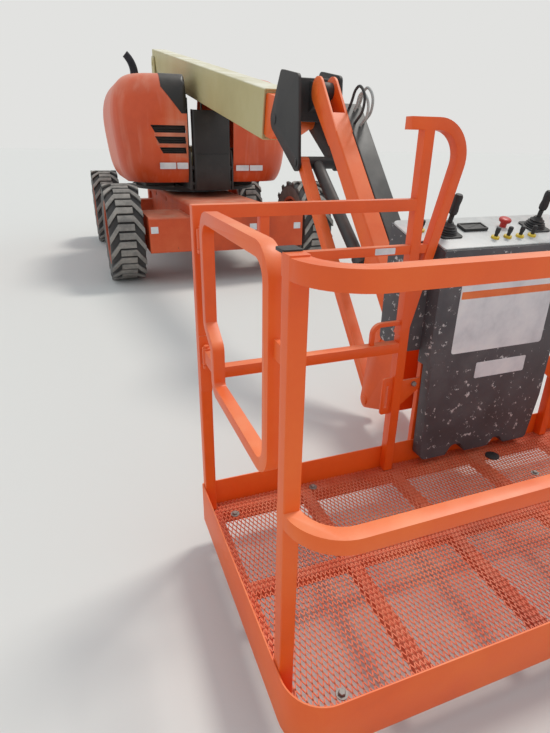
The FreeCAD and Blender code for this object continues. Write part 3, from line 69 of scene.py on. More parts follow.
# %% [markdown]
# ## Camera
# A view is matched by giving the camera the place, the turn and the lens that the picture
# was taken with. The camera stands at the platform's gate, a little to the left, and looks
# down and back along the boom. A short lens gives the strong narrowing towards the wheels.

# %% The camera
CAMERA_PLACE = (4.91338, -1.52849, 1.44219)
HEADING, TIP, ROLL = 68.99, 66.03, 0.9
LENS, FILM_WIDTH = 24.91, 36

eye = bpy.data.cameras.new("eye")
eye.sensor_width = FILM_WIDTH
eye.lens = LENS
eye_object = bpy.data.objects.new("eye", eye)
bpy.context.scene.collection.objects.link(eye_object)
stand = Matrix.Translation(CAMERA_PLACE)
turn_z = Matrix.Rotation(math.radians(HEADING), 4, "Z")
tip_x = Matrix.Rotation(math.radians(TIP), 4, "X")
roll_z = Matrix.Rotation(math.radians(ROLL), 4, "Z")
eye_object.matrix_world = stand @ turn_z @ tip_x @ roll_z
bpy.context.scene.camera = eye_object
print("camera at", [round(c, 2) for c in eye_object.matrix_world.translation])

# %% [markdown]
# ## Floor and light
# A studio for a machine is a large pale floor, a soft sun and a pale sky. The sun is wide,
# so shadows have soft edges, and it stands behind the right side of the lift, which leaves
# the faces towards the camera in gentle shade. The sky is seen pale by the camera and by
# metal, while its light on the object stays modest: Light Path tells the rays apart.


# %% The floor
def tone(red, green, blue):
    """A screen colour, 0 to 255, as the linear colour that a shader wants."""
    shares = []
    for part in (red, green, blue):
        part = part / 255
        shares.append(part / 12.92 if part <= 0.04045 else ((part + 0.055) / 1.055) ** 2.4)
    return (*shares, 1.0)


FLOOR_SIZE = 160

bpy.ops.mesh.primitive_plane_add(size=FLOOR_SIZE, location=(0, 0, 0))
ground = bpy.context.object
ground.name = "studio_floor"
ground_paint = bpy.data.materials.new("studio_floor")
ground_paint.use_nodes = True
ground_shader = ground_paint.node_tree.nodes["Principled BSDF"]
ground_shader.inputs["Base Color"].default_value = tone(212, 210, 205)
ground_shader.inputs["Roughness"].default_value = 0.95
ground.data.materials.append(ground_paint)
print("floor", FLOOR_SIZE, "m")

# %% The sun
SUN_WAY = Vector((0.22, -0.46, -0.86))

sun = bpy.data.lights.new("soft_sun", "SUN")
sun.energy = 1.5
sun.angle = math.radians(14)
sun.color = (1.0, 0.97, 0.92)
sun_object = bpy.data.objects.new("soft_sun", sun)
sun_object.rotation_euler = SUN_WAY.to_track_quat("-Z", "Y").to_euler()
bpy.context.scene.collection.objects.link(sun_object)
print("sun", sun.energy)

# %% The sky
sky = bpy.data.worlds.new("pale_sky")
sky.use_nodes = True
bpy.context.scene.world = sky
nodes, links = sky.node_tree.nodes, sky.node_tree.links
nodes.clear()
light_path = nodes.new("ShaderNodeLightPath")
seen = nodes.new("ShaderNodeMath")
seen.operation = "MAXIMUM"
ambient = nodes.new("ShaderNodeBackground")
ambient.inputs["Color"].default_value = (0.86, 0.93, 1.0, 1)
ambient.inputs["Strength"].default_value = 0.80
backdrop = nodes.new("ShaderNodeBackground")
backdrop.inputs["Color"].default_value = tone(226, 226, 224)
chosen = nodes.new("ShaderNodeMixShader")
world_out = nodes.new("ShaderNodeOutputWorld")
links.new(light_path.outputs["Is Camera Ray"], seen.inputs[0])
links.new(light_path.outputs["Is Glossy Ray"], seen.inputs[1])
links.new(seen.outputs[0], chosen.inputs[0])
links.new(ambient.outputs[0], chosen.inputs[1])
links.new(backdrop.outputs[0], chosen.inputs[2])
links.new(chosen.outputs[0], world_out.inputs["Surface"])
bpy.context.scene.view_settings.view_transform = "Standard"
print("sky", round(ambient.inputs["Strength"].default_value, 2))

# %% [markdown]
# ## Node helpers
# A finish is a small tree of nodes, and the same few steps come back in each one: noise,
# a value spread over a new range, two values joined, three shades along a value, a colour
# laid over another, and grain. Each step is one helper that adds its node, links it and
# hands on the output, so that a recipe reads from top to bottom. A share runs from 0 to 1.


# %% Values
def blank(name):
    """A new material, its node tree and its shader."""
    finish = bpy.data.materials.new(name)
    finish.use_nodes = True
    return finish, finish.node_tree, finish.node_tree.nodes["Principled BSDF"]


def noise(tree, place, scale, detail, roughness=0.5):
    """Noise read at a place."""
    cloud = tree.nodes.new("ShaderNodeTexNoise")
    cloud.inputs["Scale"].default_value = scale
    cloud.inputs["Detail"].default_value = detail
    cloud.inputs["Roughness"].default_value = roughness
    tree.links.new(place, cloud.inputs["Vector"])
    return cloud.outputs["Fac"]


def spread(tree, value, low, high, to_low=0.0, to_high=1.0):
    """A value's stretch from low to high, spread from to_low to to_high."""
    span = tree.nodes.new("ShaderNodeMapRange")
    span.inputs["From Min"].default_value = low
    span.inputs["From Max"].default_value = high
    span.inputs["To Min"].default_value = to_low
    span.inputs["To Max"].default_value = to_high
    tree.links.new(value, span.inputs["Value"])
    return span.outputs["Result"]


def joined(tree, operation, first, second):
    """Two values joined by one operation."""
    sum_of_two = tree.nodes.new("ShaderNodeMath")
    sum_of_two.operation = operation
    tree.links.new(first, sum_of_two.inputs[0])
    tree.links.new(second, sum_of_two.inputs[1])
    return sum_of_two.outputs[0]


# %% Colours and grain
def shades(tree, value, dark, middle, light):
    """Three screen colours, each with its place along a value."""
    ramp = tree.nodes.new("ShaderNodeValToRGB")
    for step, (place, colour) in zip(ramp.color_ramp.elements, (dark, light)):
        step.position = place
        step.color = tone(*colour)
    place, colour = middle
    ramp.color_ramp.elements.new(place).color = tone(*colour)
    tree.links.new(value, ramp.inputs["Fac"])
    return ramp.outputs["Color"]


def laid_over(tree, share, below, colour):
    """A screen colour laid over what is below it, by a share."""
    mix = tree.nodes.new("ShaderNodeMix")
    mix.data_type = "RGBA"
    mix.inputs[7].default_value = tone(*colour)
    tree.links.new(share, mix.inputs[0])
    tree.links.new(below, mix.inputs[6])
    return mix.outputs[2]


def grained(tree, shader, place, scale, detail, strength, height):
    """Fine grain, as a tilt of the surface that light sees."""
    relief = tree.nodes.new("ShaderNodeBump")
    relief.inputs["Strength"].default_value = strength
    relief.inputs["Distance"].default_value = height
    tree.links.new(noise(tree, place, scale, detail), relief.inputs["Height"])
    tree.links.new(relief.outputs["Normal"], shader.inputs["Normal"])


# %% [markdown]
# ## Paint that has worked outdoors
# Painted steel on a used lift is never one colour. The sun bleaches it in patches, dust
# lies on what faces up, and small chips show along the way. One recipe serves all paints:
# a broad noise fades the colour, a stretched noise draws rain streaks, the surface's own
# direction gathers dust, and fine noise breaks up the gloss. Each finish has its numbers.

# %% The recipe for paint
FADES_AT = (0.34, 0.5, 0.68)
RAIN_STRETCH, RAIN_BAND = (13, 13, 0.9), (0.5, 0.78)
CHIP_EDGE = 0.05
UPWARD_BAND = (0.25, 0.95)
DUST_FINER, DUST_BAND, DUST_LEAST = 4.5, (0.32, 0.62), 0.35
GLOSS_BAND = (0.3, 0.7)
GRAIN_SCALE, GRAIN_HEIGHT = 160, 0.002


def painted(name, deep, plain, faded, dust=(196, 182, 165), cover=0.45, rough=(0.42, 0.62),
            chips=None, chip_size=38, chip_from=0.66, streaks=0.0, metal=0.0, patch=1.6,
            bump=0.12):
    """Faded paint with rain streaks, chips, dust on upward faces and fine grain."""
    finish, tree, shader = blank(name)
    shader.inputs["Metallic"].default_value = metal
    spot = tree.nodes.new("ShaderNodeTexCoord")
    place = spot.outputs["Object"]
    broad = noise(tree, place, patch, 9, 0.62)
    colour = shades(tree, broad, *zip(FADES_AT, (deep, plain, faded)))
    if streaks:
        drip = tree.nodes.new("ShaderNodeMapping")
        drip.inputs["Scale"].default_value = RAIN_STRETCH
        tree.links.new(place, drip.inputs["Vector"])
        thin = noise(tree, drip.outputs["Vector"], 1.0, 7)
        colour = laid_over(tree, spread(tree, thin, *RAIN_BAND, 0, streaks), colour, dust)
    if chips:
        speck = noise(tree, place, chip_size, 5, 0.7)
        bare = spread(tree, speck, chip_from, chip_from + CHIP_EDGE)
        colour = laid_over(tree, bare, colour, chips)
    if cover:
        facing = tree.nodes.new("ShaderNodeSeparateXYZ")
        tree.links.new(spot.outputs["Normal"], facing.inputs["Vector"])
        upward = spread(tree, facing.outputs["Z"], *UPWARD_BAND, 0, cover)
        cloud = noise(tree, place, patch * DUST_FINER, 8)
        uneven = spread(tree, cloud, *DUST_BAND, DUST_LEAST)
        colour = laid_over(tree, joined(tree, "MULTIPLY", upward, uneven), colour, dust)
    tree.links.new(colour, shader.inputs["Base Color"])
    tree.links.new(spread(tree, broad, *GLOSS_BAND, *rough), shader.inputs["Roughness"])
    grained(tree, shader, place, GRAIN_SCALE, 3, bump, GRAIN_HEIGHT)
    return finish


# %% [markdown]
# ## One finish for each material of the record
# The solids carry sixteen materials by name. Bright orange is the fresh powder coat of the
# rails, hood orange the bleached paint of the hoods, cream the boom. Chrome rods and bare
# steel are metallic, and rubber is dark and nearly matt with a grey bloom.

# %% Mix the sixteen finishes
finishes = {
    "bright_orange": painted("bright_orange", (222, 82, 14), (236, 92, 18), (242, 108, 34),
                             dust=(250, 176, 132), cover=0.42, rough=(0.36, 0.52),
                             chips=(140, 66, 34), chip_size=55, chip_from=0.73),
    "hood_orange": painted("hood_orange", (196, 70, 26), (212, 82, 34), (218, 106, 62),
                           dust=(228, 168, 142), cover=0.5, rough=(0.34, 0.5), streaks=0.28,
                           patch=0.9),
    "chassis_orange": painted("chassis_orange", (180, 66, 28), (204, 78, 34), (214, 100, 58),
                              dust=(206, 156, 130), cover=0.6, rough=(0.55, 0.8),
                              chips=(104, 62, 44), chip_size=22, chip_from=0.68),
    "wheel_orange": painted("wheel_orange", (156, 64, 36), (180, 80, 46), (190, 112, 80),
                            dust=(176, 150, 130), cover=0.55, rough=(0.55, 0.82),
                            chips=(96, 74, 62), chip_size=26, chip_from=0.62),
    "mesh_orange": painted("mesh_orange", (196, 72, 34), (222, 88, 42), (232, 118, 74),
                           dust=(240, 176, 144), cover=0.35, rough=(0.5, 0.7), patch=2.4),
    "cream": painted("cream", (176, 163, 112), (188, 175, 124), (196, 185, 140),
                     dust=(236, 232, 216), cover=0.8, rough=(0.42, 0.6),
                     chips=(132, 112, 84), chip_size=30, chip_from=0.73, patch=0.8),
    "turntable_grey": painted("turntable_grey", (44, 43, 43), (58, 56, 55), (80, 77, 73),
                              dust=(140, 130, 120), cover=0.55, rough=(0.55, 0.8)),
    "weight_grey": painted("weight_grey", (70, 70, 70), (88, 88, 86), (106, 103, 98),
                           dust=(164, 156, 144), cover=0.55, rough=(0.6, 0.85)),
    "black_trim": painted("black_trim", (22, 20, 20), (34, 30, 29), (50, 46, 44),
                          dust=(104, 98, 94), cover=0.3, rough=(0.3, 0.5), patch=3),
    "bracket_black": painted("bracket_black", (26, 26, 28), (38, 38, 40), (60, 59, 58),
                             dust=(150, 144, 136), cover=0.45, rough=(0.42, 0.68),
                             chips=(104, 84, 72), chip_size=34, chip_from=0.7),
    "control_black": painted("control_black", (22, 22, 24), (32, 32, 34), (48, 48, 50),
                             dust=(96, 92, 88), cover=0.25, rough=(0.45, 0.65), patch=9),
    "console_grey": painted("console_grey", (62, 61, 64), (76, 74, 77), (94, 91, 92),
                            dust=(136, 132, 128), cover=0.3, rough=(0.5, 0.72),
                            chips=(196, 194, 192), chip_size=34, chip_from=0.605, patch=5),
    "deck_grey": painted("deck_grey", (160, 161, 159), (184, 185, 183), (204, 204, 201),
                         dust=(212, 208, 200), cover=0.3, rough=(0.35, 0.55),
                         chips=(112, 110, 106), chip_size=40, chip_from=0.68, patch=6),
    "steel": painted("steel", (104, 104, 106), (132, 132, 132), (156, 152, 146),
                     dust=(158, 146, 132), cover=0.3, rough=(0.35, 0.6), metal=0.7, patch=5),
    "rod_chrome": painted("rod_chrome", (186, 188, 192), (202, 204, 208), (212, 212, 214),
                          cover=0.0, rough=(0.1, 0.22), metal=1.0, patch=4, bump=0.02),
    "tyre": painted("tyre", (42, 42, 43), (56, 55, 55), (84, 80, 76),
                    dust=(150, 138, 126), cover=0.35, rough=(0.72, 0.92), patch=5, bump=0.25),
}
for node in frame["nodes"].values():
    for holder in node.material_slots:
        holder.material = finishes[holder.material.name.split(".")[0]]
print("finishes", len(finishes))

# %% [markdown]
# ## Soft edges on the steelwork
# No welded tube has a razor edge: it is rolled, ground and painted, and the rounded edge
# catches a thin line of light. The solids are left sharp on purpose. A copy of each one is
# merged, its flat triangles are dissolved into faces, and a Bevel modifier rounds what
# meets at more than thirty degrees. The copy then stands for the solid.

# %% A copy that may be edited
MERGE = 0.00002


def pick(piece):
    """Make one object the only selected and active one."""
    bpy.ops.object.select_all(action="DESELECT")
    piece.select_set(True)
    bpy.context.view_layer.objects.active = piece


def leave():
    """Leave edit mode."""
    bpy.ops.object.mode_set(mode="OBJECT")


def merged_copy(node, name):
    """A copy of a solid, merged and left in edit mode, and the body that carries it."""
    pick(frame["nodes"][node])
    bpy.ops.object.duplicate()
    piece = bpy.context.object
    piece.name = name
    body = piece["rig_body"]
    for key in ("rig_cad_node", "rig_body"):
        if key in piece:
            del piece[key]
    bpy.ops.object.mode_set(mode="EDIT")
    bpy.ops.mesh.select_all(action="SELECT")
    bpy.ops.mesh.remove_doubles(threshold=MERGE)
    return piece, body


# %% Round the edges
FLAT_WITHIN, SHARP_FROM, SMOOTH_TO = 0.6, 30, 32


def softened(node, width):
    """A copy of a solid with its sharp edges rounded, riding on the same body."""
    piece, body = merged_copy(node, node + "_rounded")
    bpy.ops.mesh.dissolve_limited(angle_limit=math.radians(FLAT_WITHIN))
    leave()
    rounding = piece.modifiers.new("rounding", "BEVEL")
    rounding.width = width
    rounding.segments = 2
    rounding.limit_method = "ANGLE"
    rounding.angle_limit = math.radians(SHARP_FROM)
    rounding.use_clamp_overlap = True
    bpy.ops.object.modifier_apply(modifier=rounding.name)
    bpy.ops.object.shade_smooth_by_angle(angle=math.radians(SMOOTH_TO))
    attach(piece, body)
    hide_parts(node)
    return piece


EDGES = {
    "platform_rails": 0.005, "console_guards": 0.005, "gate_frame": 0.004,
    "toe_board": 0.002, "floor_frame": 0.002, "boom_base": 0.006, "boom_fly": 0.006,
    "jib_arm": 0.005, "jib_link": 0.005, "level_bracket": 0.003, "upright": 0.004,
    "tower_base": 0.005, "tower_fly": 0.005, "platform_support": 0.003,
    "platform_mount": 0.004, "chassis_frame": 0.004, "front_axle": 0.004,
    "rear_axle": 0.004, "counterweight": 0.006, "turntable_frame": 0.003,
    "centre_cover": 0.003, "console_body": 0.004, "console_deck": 0.0015,
    "hose_guard": 0.002, "hood_left": 0.003, "hood_right": 0.003,
}
for node, width in EDGES.items():
    print(node, "faces", len(softened(node, width).data.polygons))

# %% [markdown]
# ## Modelling helpers
# Round parts such as tyres, knobs and nuts are a ring that is extruded again and again,
# each time moved along the axle and scaled to its next radius, as a turner works down a
# bar. Flat parts are a slab whose corners are bevelled. Both are made at the origin and
# then set down in place, where their transforms are applied. An operator acts on all that
# is selected, so faces and edges are picked in code, by their place or their direction.


# %% Edit-mode helpers
def edit(piece):
    """Enter edit mode with nothing selected."""
    pick(piece)
    bpy.ops.object.mode_set(mode="EDIT")
    bpy.ops.mesh.select_all(action="DESELECT")


def edit_all(piece):
    """Enter edit mode with everything selected."""
    edit(piece)
    bpy.ops.mesh.select_all(action="SELECT")


def take(piece, kind, wanted):
    """Enter edit mode with only those corners, edges or faces selected that are wanted."""
    edit(piece)
    bpy.ops.mesh.select_mode(type=kind)
    leave()
    mesh = piece.data
    for part in {"VERT": mesh.vertices, "EDGE": mesh.edges, "FACE": mesh.polygons}[kind]:
        part.select = wanted(part)
    bpy.ops.object.mode_set(mode="EDIT")


def end_faces(piece, axis, side=1, within=0.0005):
    """A test for the faces that lie at a piece's far end along an axis."""
    index = "XYZ".index(axis)
    far = max(v.co[index] * side for v in piece.data.vertices)
    return lambda face: all(piece.data.vertices[v].co[index] * side > far - within
                            for v in face.vertices)


def pull(x, y, z):
    """Extrude what is selected, and move the new part."""
    bpy.ops.mesh.extrude_region_move(TRANSFORM_OT_translate={"value": (x, y, z)})


# %% Turned parts
def turned(name, points, sides=32, axis="Z", close=True):
    """A ring extruded through (radius, height) points along an axis, its ends closed."""
    lean = (math.radians(90), 0, 0) if axis == "Y" else (0, 0, 0)
    up = Vector((0, 1, 0)) if axis == "Y" else Vector((0, 0, 1))
    radius, height = points[0]
    bpy.ops.mesh.primitive_circle_add(vertices=sides, radius=radius, rotation=lean,
                                      location=up * height)
    piece = bpy.context.object
    piece.name = name
    bpy.ops.object.transform_apply(location=True, rotation=True, scale=True)
    bpy.ops.object.mode_set(mode="EDIT")
    bpy.ops.mesh.select_all(action="SELECT")
    if close:
        bpy.ops.mesh.edge_face_add()
    for next_radius, next_height in points[1:]:
        grow = next_radius / radius
        pull(*(up * (next_height - height)))
        swell = (grow, 1, grow) if axis == "Y" else (grow, grow, 1)
        bpy.ops.transform.resize(value=swell, center_override=up * next_height)
        radius, height = next_radius, next_height
    bpy.ops.mesh.select_all(action="SELECT")
    bpy.ops.mesh.remove_doubles(threshold=MERGE)
    bpy.ops.mesh.normals_make_consistent(inside=False)
    leave()
    return piece


# %% Flat parts
CORNER_STEPS = 4


def worn(piece, width, sharp_from):
    """Round a piece's sharp edges a little."""
    rounding = piece.modifiers.new("edge", "BEVEL")
    rounding.width = width
    rounding.segments = 2
    rounding.angle_limit = math.radians(sharp_from)
    pick(piece)
    bpy.ops.object.modifier_apply(modifier=rounding.name)


def slab(name, low, high, corner=0.0, thin="X", edge=0.0):
    """A flat part between two corners, its outline's corners bevelled, then its edges."""
    low, high = Vector(low), Vector(high)
    bpy.ops.mesh.primitive_cube_add(size=1, location=(low + high) / 2)
    piece = bpy.context.object
    piece.name = name
    piece.scale = high - low
    bpy.ops.object.transform_apply(location=True, rotation=True, scale=True)

    def runs_through(side):
        start, end = (piece.data.vertices[v].co for v in side.vertices)
        return abs((end - start)["XYZ".index(thin)]) > 0.9 * (end - start).length

    if corner:
        take(piece, "EDGE", runs_through)
        bpy.ops.mesh.bevel(offset=corner, segments=CORNER_STEPS, affect="EDGES")
        leave()
    if edge:
        worn(piece, edge, 50)
    return piece


# %% Copy, set down, join and dress
def copy_of(piece, name):
    """A copy with a mesh of its own."""
    pick(piece)
    bpy.ops.object.duplicate()
    twin = bpy.context.object
    twin.name = name
    return twin


def set_down(piece, place, turn=(0, 0, 0)):
    """Put a piece in place and apply that to its mesh."""
    pick(piece)
    piece.location = place
    piece.rotation_euler = turn
    bpy.ops.object.transform_apply(location=True, rotation=True, scale=True)
    return piece


def join(pieces, name):
    """Several meshes as one piece."""
    bpy.ops.object.select_all(action="DESELECT")
    for piece in pieces:
        piece.select_set(True)
    bpy.context.view_layer.objects.active = pieces[0]
    bpy.ops.object.join()
    whole = bpy.context.object
    whole.name = name
    return whole


def dress(piece, body, slot, smooth=35, finish=None):
    """Give a piece its finish, its smooth shading and the body that carries it."""
    piece.data.materials.clear()
    piece.data.materials.append(finish or finishes[slot])
    pick(piece)
    bpy.ops.object.shade_smooth_by_angle(angle=math.radians(smooth))
    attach(piece, body)
    return piece


# %% [markdown]
# ## Tyres
# A rough-terrain tyre is a smooth casing with heavy slanted bars. Each bar has a straight
# middle and one arm that sweeps back to a shoulder, left and right in turn, thirty-six of
# them around. The casing is turned from its profile. One bar starts as a block on the
# tread, and its end is extruded outwards five times, turned a little about the axle each
# time, so that the arm follows the curve. Then the bar is copied around the wheel. A turn
# may go the other way round where no window is open, so a small block is turned first, and
# its way gives the sign for all later turns.

# %% The casing
TYRE_RADIUS = 0.505
ROOT_RADIUS = 0.473
BEAD_RADIUS = 0.318
HALF_WIDTH = 0.1775
casing_profile = [
    (BEAD_RADIUS, -0.1535), (0.345, -0.1625), (0.375, -0.1705), (0.41, -0.1765),
    (0.44, -0.177), (0.458, -0.173), (0.468, -0.164), (ROOT_RADIUS, -0.15),
    (ROOT_RADIUS, 0.15), (0.468, 0.164), (0.458, 0.173), (0.44, 0.177),
    (0.41, 0.1765), (0.375, 0.1705), (0.345, 0.1625), (BEAD_RADIUS, 0.1535),
    (BEAD_RADIUS, -0.1535),
]
casing = turned("casing", casing_profile, sides=72, axis="Y", close=False)
print("casing faces", len(casing.data.polygons))


# %% Turns about the axle
def about_axle(degrees):
    """Turn what is selected about the Y axis."""
    bpy.ops.transform.rotate(value=math.radians(degrees), orient_axis="Y",
                             center_override=(0, 0, 0))


def ring_of(piece, count):
    """Copy a piece evenly about the Y axis."""
    edit_all(piece)
    for copy in range(count - 1):
        bpy.ops.mesh.duplicate()
        about_axle(360 / count)
    leave()
    return piece


trial = slab("trial", (0, 0, -0.5), (0.01, 0.01, -0.49))
edit_all(trial)
about_axle(10)
leave()
ARM_SIGN = 1 if sum(v.co.x for v in trial.data.vertices) < 0 else -1
bpy.data.objects.remove(trial)
print("a positive turn moves the bottom to", "-X" if ARM_SIGN == 1 else "+X")

# %% One bar with its arm
BAR_THICK = 0.066
BAR_FOOT = 0.462
FLAT_HALF = 0.080
ARM_STEPS = 5
ARM_SWEEP = 0.134
TOP_FROM = 0.49


def from_axle(vertex):
    """A corner's distance from the Y axis."""
    return math.hypot(vertex.co.x, vertex.co.z)


def stretch(vertex, share):
    """Move a corner straight away from the Y axis, or towards it."""
    vertex.co.x *= share
    vertex.co.z *= share


def tread_bar(name, side):
    """A bar at the bottom of the wheel, with its arm on one side."""
    bar = slab(name, (0, -FLAT_HALF, -TYRE_RADIUS), (BAR_THICK, FLAT_HALF, -BAR_FOOT))
    turn = math.degrees(ARM_SWEEP / TYRE_RADIUS) / ARM_STEPS
    for step in range(ARM_STEPS):
        take(bar, "FACE", end_faces(bar, "Y", side))
        pull(0, (HALF_WIDTH - FLAT_HALF) / ARM_STEPS * side, 0)
        about_axle(ARM_SIGN * turn)
        leave()
    for vertex in bar.data.vertices:
        if from_axle(vertex) > TOP_FROM:
            stretch(vertex, TYRE_RADIUS / from_axle(vertex))
    return bar


# %% Thirty-six bars
BARS_A_SIDE = 18
SHOULDER_FOOT = 0.442
FOOT_TO = 0.48
HAIR = 0.0005
WORN_EDGE = 0.004
bars = []
for name, side, phase in (("bar_left", -1, 0), ("bar_right", 1, 180 / BARS_A_SIDE)):
    bar = tread_bar(name, side)
    arm_end = max(v.co.y * side for v in bar.data.vertices)
    for vertex in bar.data.vertices:
        if vertex.co.y * side > arm_end - HAIR and from_axle(vertex) < FOOT_TO:
            stretch(vertex, SHOULDER_FOOT / BAR_FOOT)
    worn(bar, WORN_EDGE, 40)
    edit_all(bar)
    about_axle(-ARM_SIGN * phase)
    leave()
    bars.append(ring_of(bar, BARS_A_SIDE))
tread = join(bars, "tread")
print("tread faces", len(tread.data.polygons))

# %% [markdown]
# Rubber is darkest in the grooves, where nothing rubs, and greyest on top of the bars,
# where dust and gravel polish it. The distance from the axle tells the two apart, but an
# Object coordinate is measured from the world's middle. A Mapping node moves the middle to
# each wheel, so all four tyres get the same finish from one recipe.

# %% Rubber
BAR_TOPS, SIDE_WALLS = (0.476, 0.506), (0.462, 0.44)
WALL_DUST = 0.55
RUBBER_SHADES = ((0.05, (72, 70, 69)), (0.3, (112, 109, 105)), (0.62, (158, 152, 144)))


def rubber(name, axle_x):
    """Tyre rubber that is dark low in the tread and dusty on top, about a wheel's axle."""
    finish, tree, shader = blank(name)
    shader.inputs["Roughness"].default_value = 0.88
    place = tree.nodes.new("ShaderNodeTexCoord").outputs["Object"]
    centre = tree.nodes.new("ShaderNodeMapping")
    centre.inputs["Location"].default_value = (-axle_x, 0, -TYRE_RADIUS)
    centre.inputs["Scale"].default_value = (1, 0, 1)
    tree.links.new(place, centre.inputs["Vector"])
    reach = tree.nodes.new("ShaderNodeVectorMath")
    reach.operation = "LENGTH"
    tree.links.new(centre.outputs["Vector"], reach.inputs[0])
    tops = spread(tree, reach.outputs["Value"], *BAR_TOPS)
    walls = spread(tree, reach.outputs["Value"], *SIDE_WALLS, 0, WALL_DUST)
    patches = noise(tree, place, 9, 9, 0.65)
    dusty = joined(tree, "MULTIPLY", joined(tree, "MAXIMUM", tops, walls), patches)
    tint = shades(tree, dusty, *RUBBER_SHADES)
    tree.links.new(tint, shader.inputs["Base Color"])
    grained(tree, shader, place, 120, 4, 0.3, 0.003)
    return finish


# %% [markdown]
# ## Wheel nuts
# A wheel is held by a ring of nuts on studs, and its hub by a ring of small bolts. One nut
# is a six-sided ring, extruded and narrowed at its rim, on a thin washer with the stud
# standing out of it. It is copied around the disc in edit mode.

# %% One set of nuts, for a wheel whose outside faces +Y
DISC_FACE, NUT_RING, NUTS = 0.0722, 0.186, 9
HUB_FACE, BOLT_RING, BOLTS = 0.1272, 0.109, 8

washer = turned("washer", [(0.021, 0), (0.021, 0.003), (0.012, 0.003)], sides=20, axis="Y")
nut = turned("nut", [(0.0165, 0.003), (0.0165, 0.015), (0.0145, 0.018), (0.009, 0.018)],
             sides=6, axis="Y")
stud = turned("stud", [(0.008, 0.01), (0.008, 0.026), (0.006, 0.028)], sides=12, axis="Y")
wheel_nut = set_down(join([washer, nut, stud], "wheel_nut"), (0, DISC_FACE, NUT_RING))
hub_bolt = turned("hub_bolt", [(0.011, 0), (0.011, 0.007), (0.009, 0.009)], sides=6, axis="Y")
set_down(hub_bolt, (0, HUB_FACE, BOLT_RING))
plug = turned("hub_plug", [(0.024, 0.148), (0.024, 0.156), (0.021, 0.159)], sides=6, axis="Y")
fasteners = join([ring_of(wheel_nut, NUTS), ring_of(hub_bolt, BOLTS), plug], "fasteners")
print("fasteners faces", len(fasteners.data.polygons))

# %% Set down four tyres and four sets of nuts
WHEELS = {
    "front_left": (-3.473, -1.068), "front_right": (-3.473, 1.068),
    "rear_left": (-0.993, -1.068), "rear_right": (-0.993, 1.068),
}
whole_tyre = join([casing, tread], "whole_tyre")
for wheel, (x, y) in WHEELS.items():
    tyre = set_down(copy_of(whole_tyre, "tyre_" + wheel + "_rubber"), (x, y, TYRE_RADIUS))
    dress(tyre, "wheel_" + wheel, "tyre", smooth=30, finish=rubber("rubber_" + wheel, x))
    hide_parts("tyre_" + wheel)
    nuts = copy_of(fasteners, "wheel_nuts_" + wheel)
    set_down(nuts, (x, y, TYRE_RADIUS), (0, 0, math.pi if y < 0 else 0))
    dress(nuts, "wheel_" + wheel, "wheel_orange", smooth=30)
for pattern in (whole_tyre, fasteners):
    bpy.data.objects.remove(pattern)
print("wheels", len(WHEELS))

# %% [markdown]
# ## The platform's floor
# The floor is expanded metal: a sheet is slit and stretched until its strands open into
# long diamonds. One strand is a thin bar that steps up and down. Two of them, mirrored,
# make a row of diamonds, and Array modifiers repeat the row over the floor. The sheet is
# then bisected along the floor's edge, and aslant at its two rounded corners.

# %% One pair of strands
DIAMOND_LONG = 0.0388
DIAMOND_WIDE = 0.0157
STRAND = 0.0034
STRAND_TOP, STRAND_FOOT = 0.0004, 0.0032
STARTER = 0.0002
mesh_low, mesh_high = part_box("floor_mesh")
strands = []
for flip, base_y in ((1, mesh_low.y), (-1, mesh_low.y + DIAMOND_WIDE)):
    strand = slab("strand", (mesh_low.x - STARTER, base_y, mesh_high.z - STRAND_FOOT),
                  (mesh_low.x, base_y + STRAND, mesh_high.z - STRAND_TOP))
    for rise in (DIAMOND_WIDE / 2, -DIAMOND_WIDE / 2):
        take(strand, "FACE", end_faces(strand, "X", within=0.00005))
        pull(DIAMOND_LONG / 2, rise * flip, 0)
        leave()
    edit_all(strand)
    bpy.ops.mesh.bisect(plane_co=(mesh_low.x, 0, 0), plane_no=(1, 0, 0), clear_inner=True)
    leave()
    take(strand, "FACE", lambda face: abs(face.normal.x) > 0.99)
    bpy.ops.mesh.delete(type="ONLY_FACE")
    leave()
    strands.append(strand)
lattice = join(strands, "floor_lattice")
print("strand faces", len(lattice.data.polygons))

# %% Repeat the row
columns = math.ceil((mesh_high.x - mesh_low.x) / DIAMOND_LONG) + 1
rows = math.ceil((mesh_high.y - mesh_low.y) / DIAMOND_WIDE) + 1
for count, step in ((columns, (DIAMOND_LONG, 0, 0)), (rows, (0, DIAMOND_WIDE, 0))):
    repeat = lattice.modifiers.new("repeat", "ARRAY")
    repeat.count = count
    repeat.use_relative_offset = False
    repeat.use_constant_offset = True
    repeat.constant_offset_displace = step
    pick(lattice)
    bpy.ops.object.modifier_apply(modifier=repeat.name)
print("diamonds", columns, "by", rows)

# %% Trim the floor
FLOOR_CORNER = 0.100
SIDE_GAP, CORNER_GAP = 0.004, 0.002
cuts = [((mesh_low.x + SIDE_GAP, 0), (-1, 0)), ((mesh_high.x - SIDE_GAP, 0), (1, 0)),
        ((0, mesh_low.y + SIDE_GAP), (0, -1)), ((0, mesh_high.y - SIDE_GAP), (0, 1))]
for side in (-1, 1):
    centre = Vector((mesh_high.x - FLOOR_CORNER, (mesh_high.y - FLOOR_CORNER) * side))
    for degrees in (15, 30, 45, 60, 75):
        away = Vector((math.cos(math.radians(degrees)), side * math.sin(math.radians(degrees))))
        cuts.append((tuple(centre + away * (FLOOR_CORNER - CORNER_GAP)), tuple(away)))
edit(lattice)
for spot, away in cuts:
    bpy.ops.mesh.select_all(action="SELECT")
    bpy.ops.mesh.bisect(plane_co=(*spot, 0), plane_no=(*away, 0), clear_outer=True)
leave()
dress(lattice, "platform", "mesh_orange", smooth=20)
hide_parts("floor_mesh")
print("floor faces", len(lattice.data.polygons))

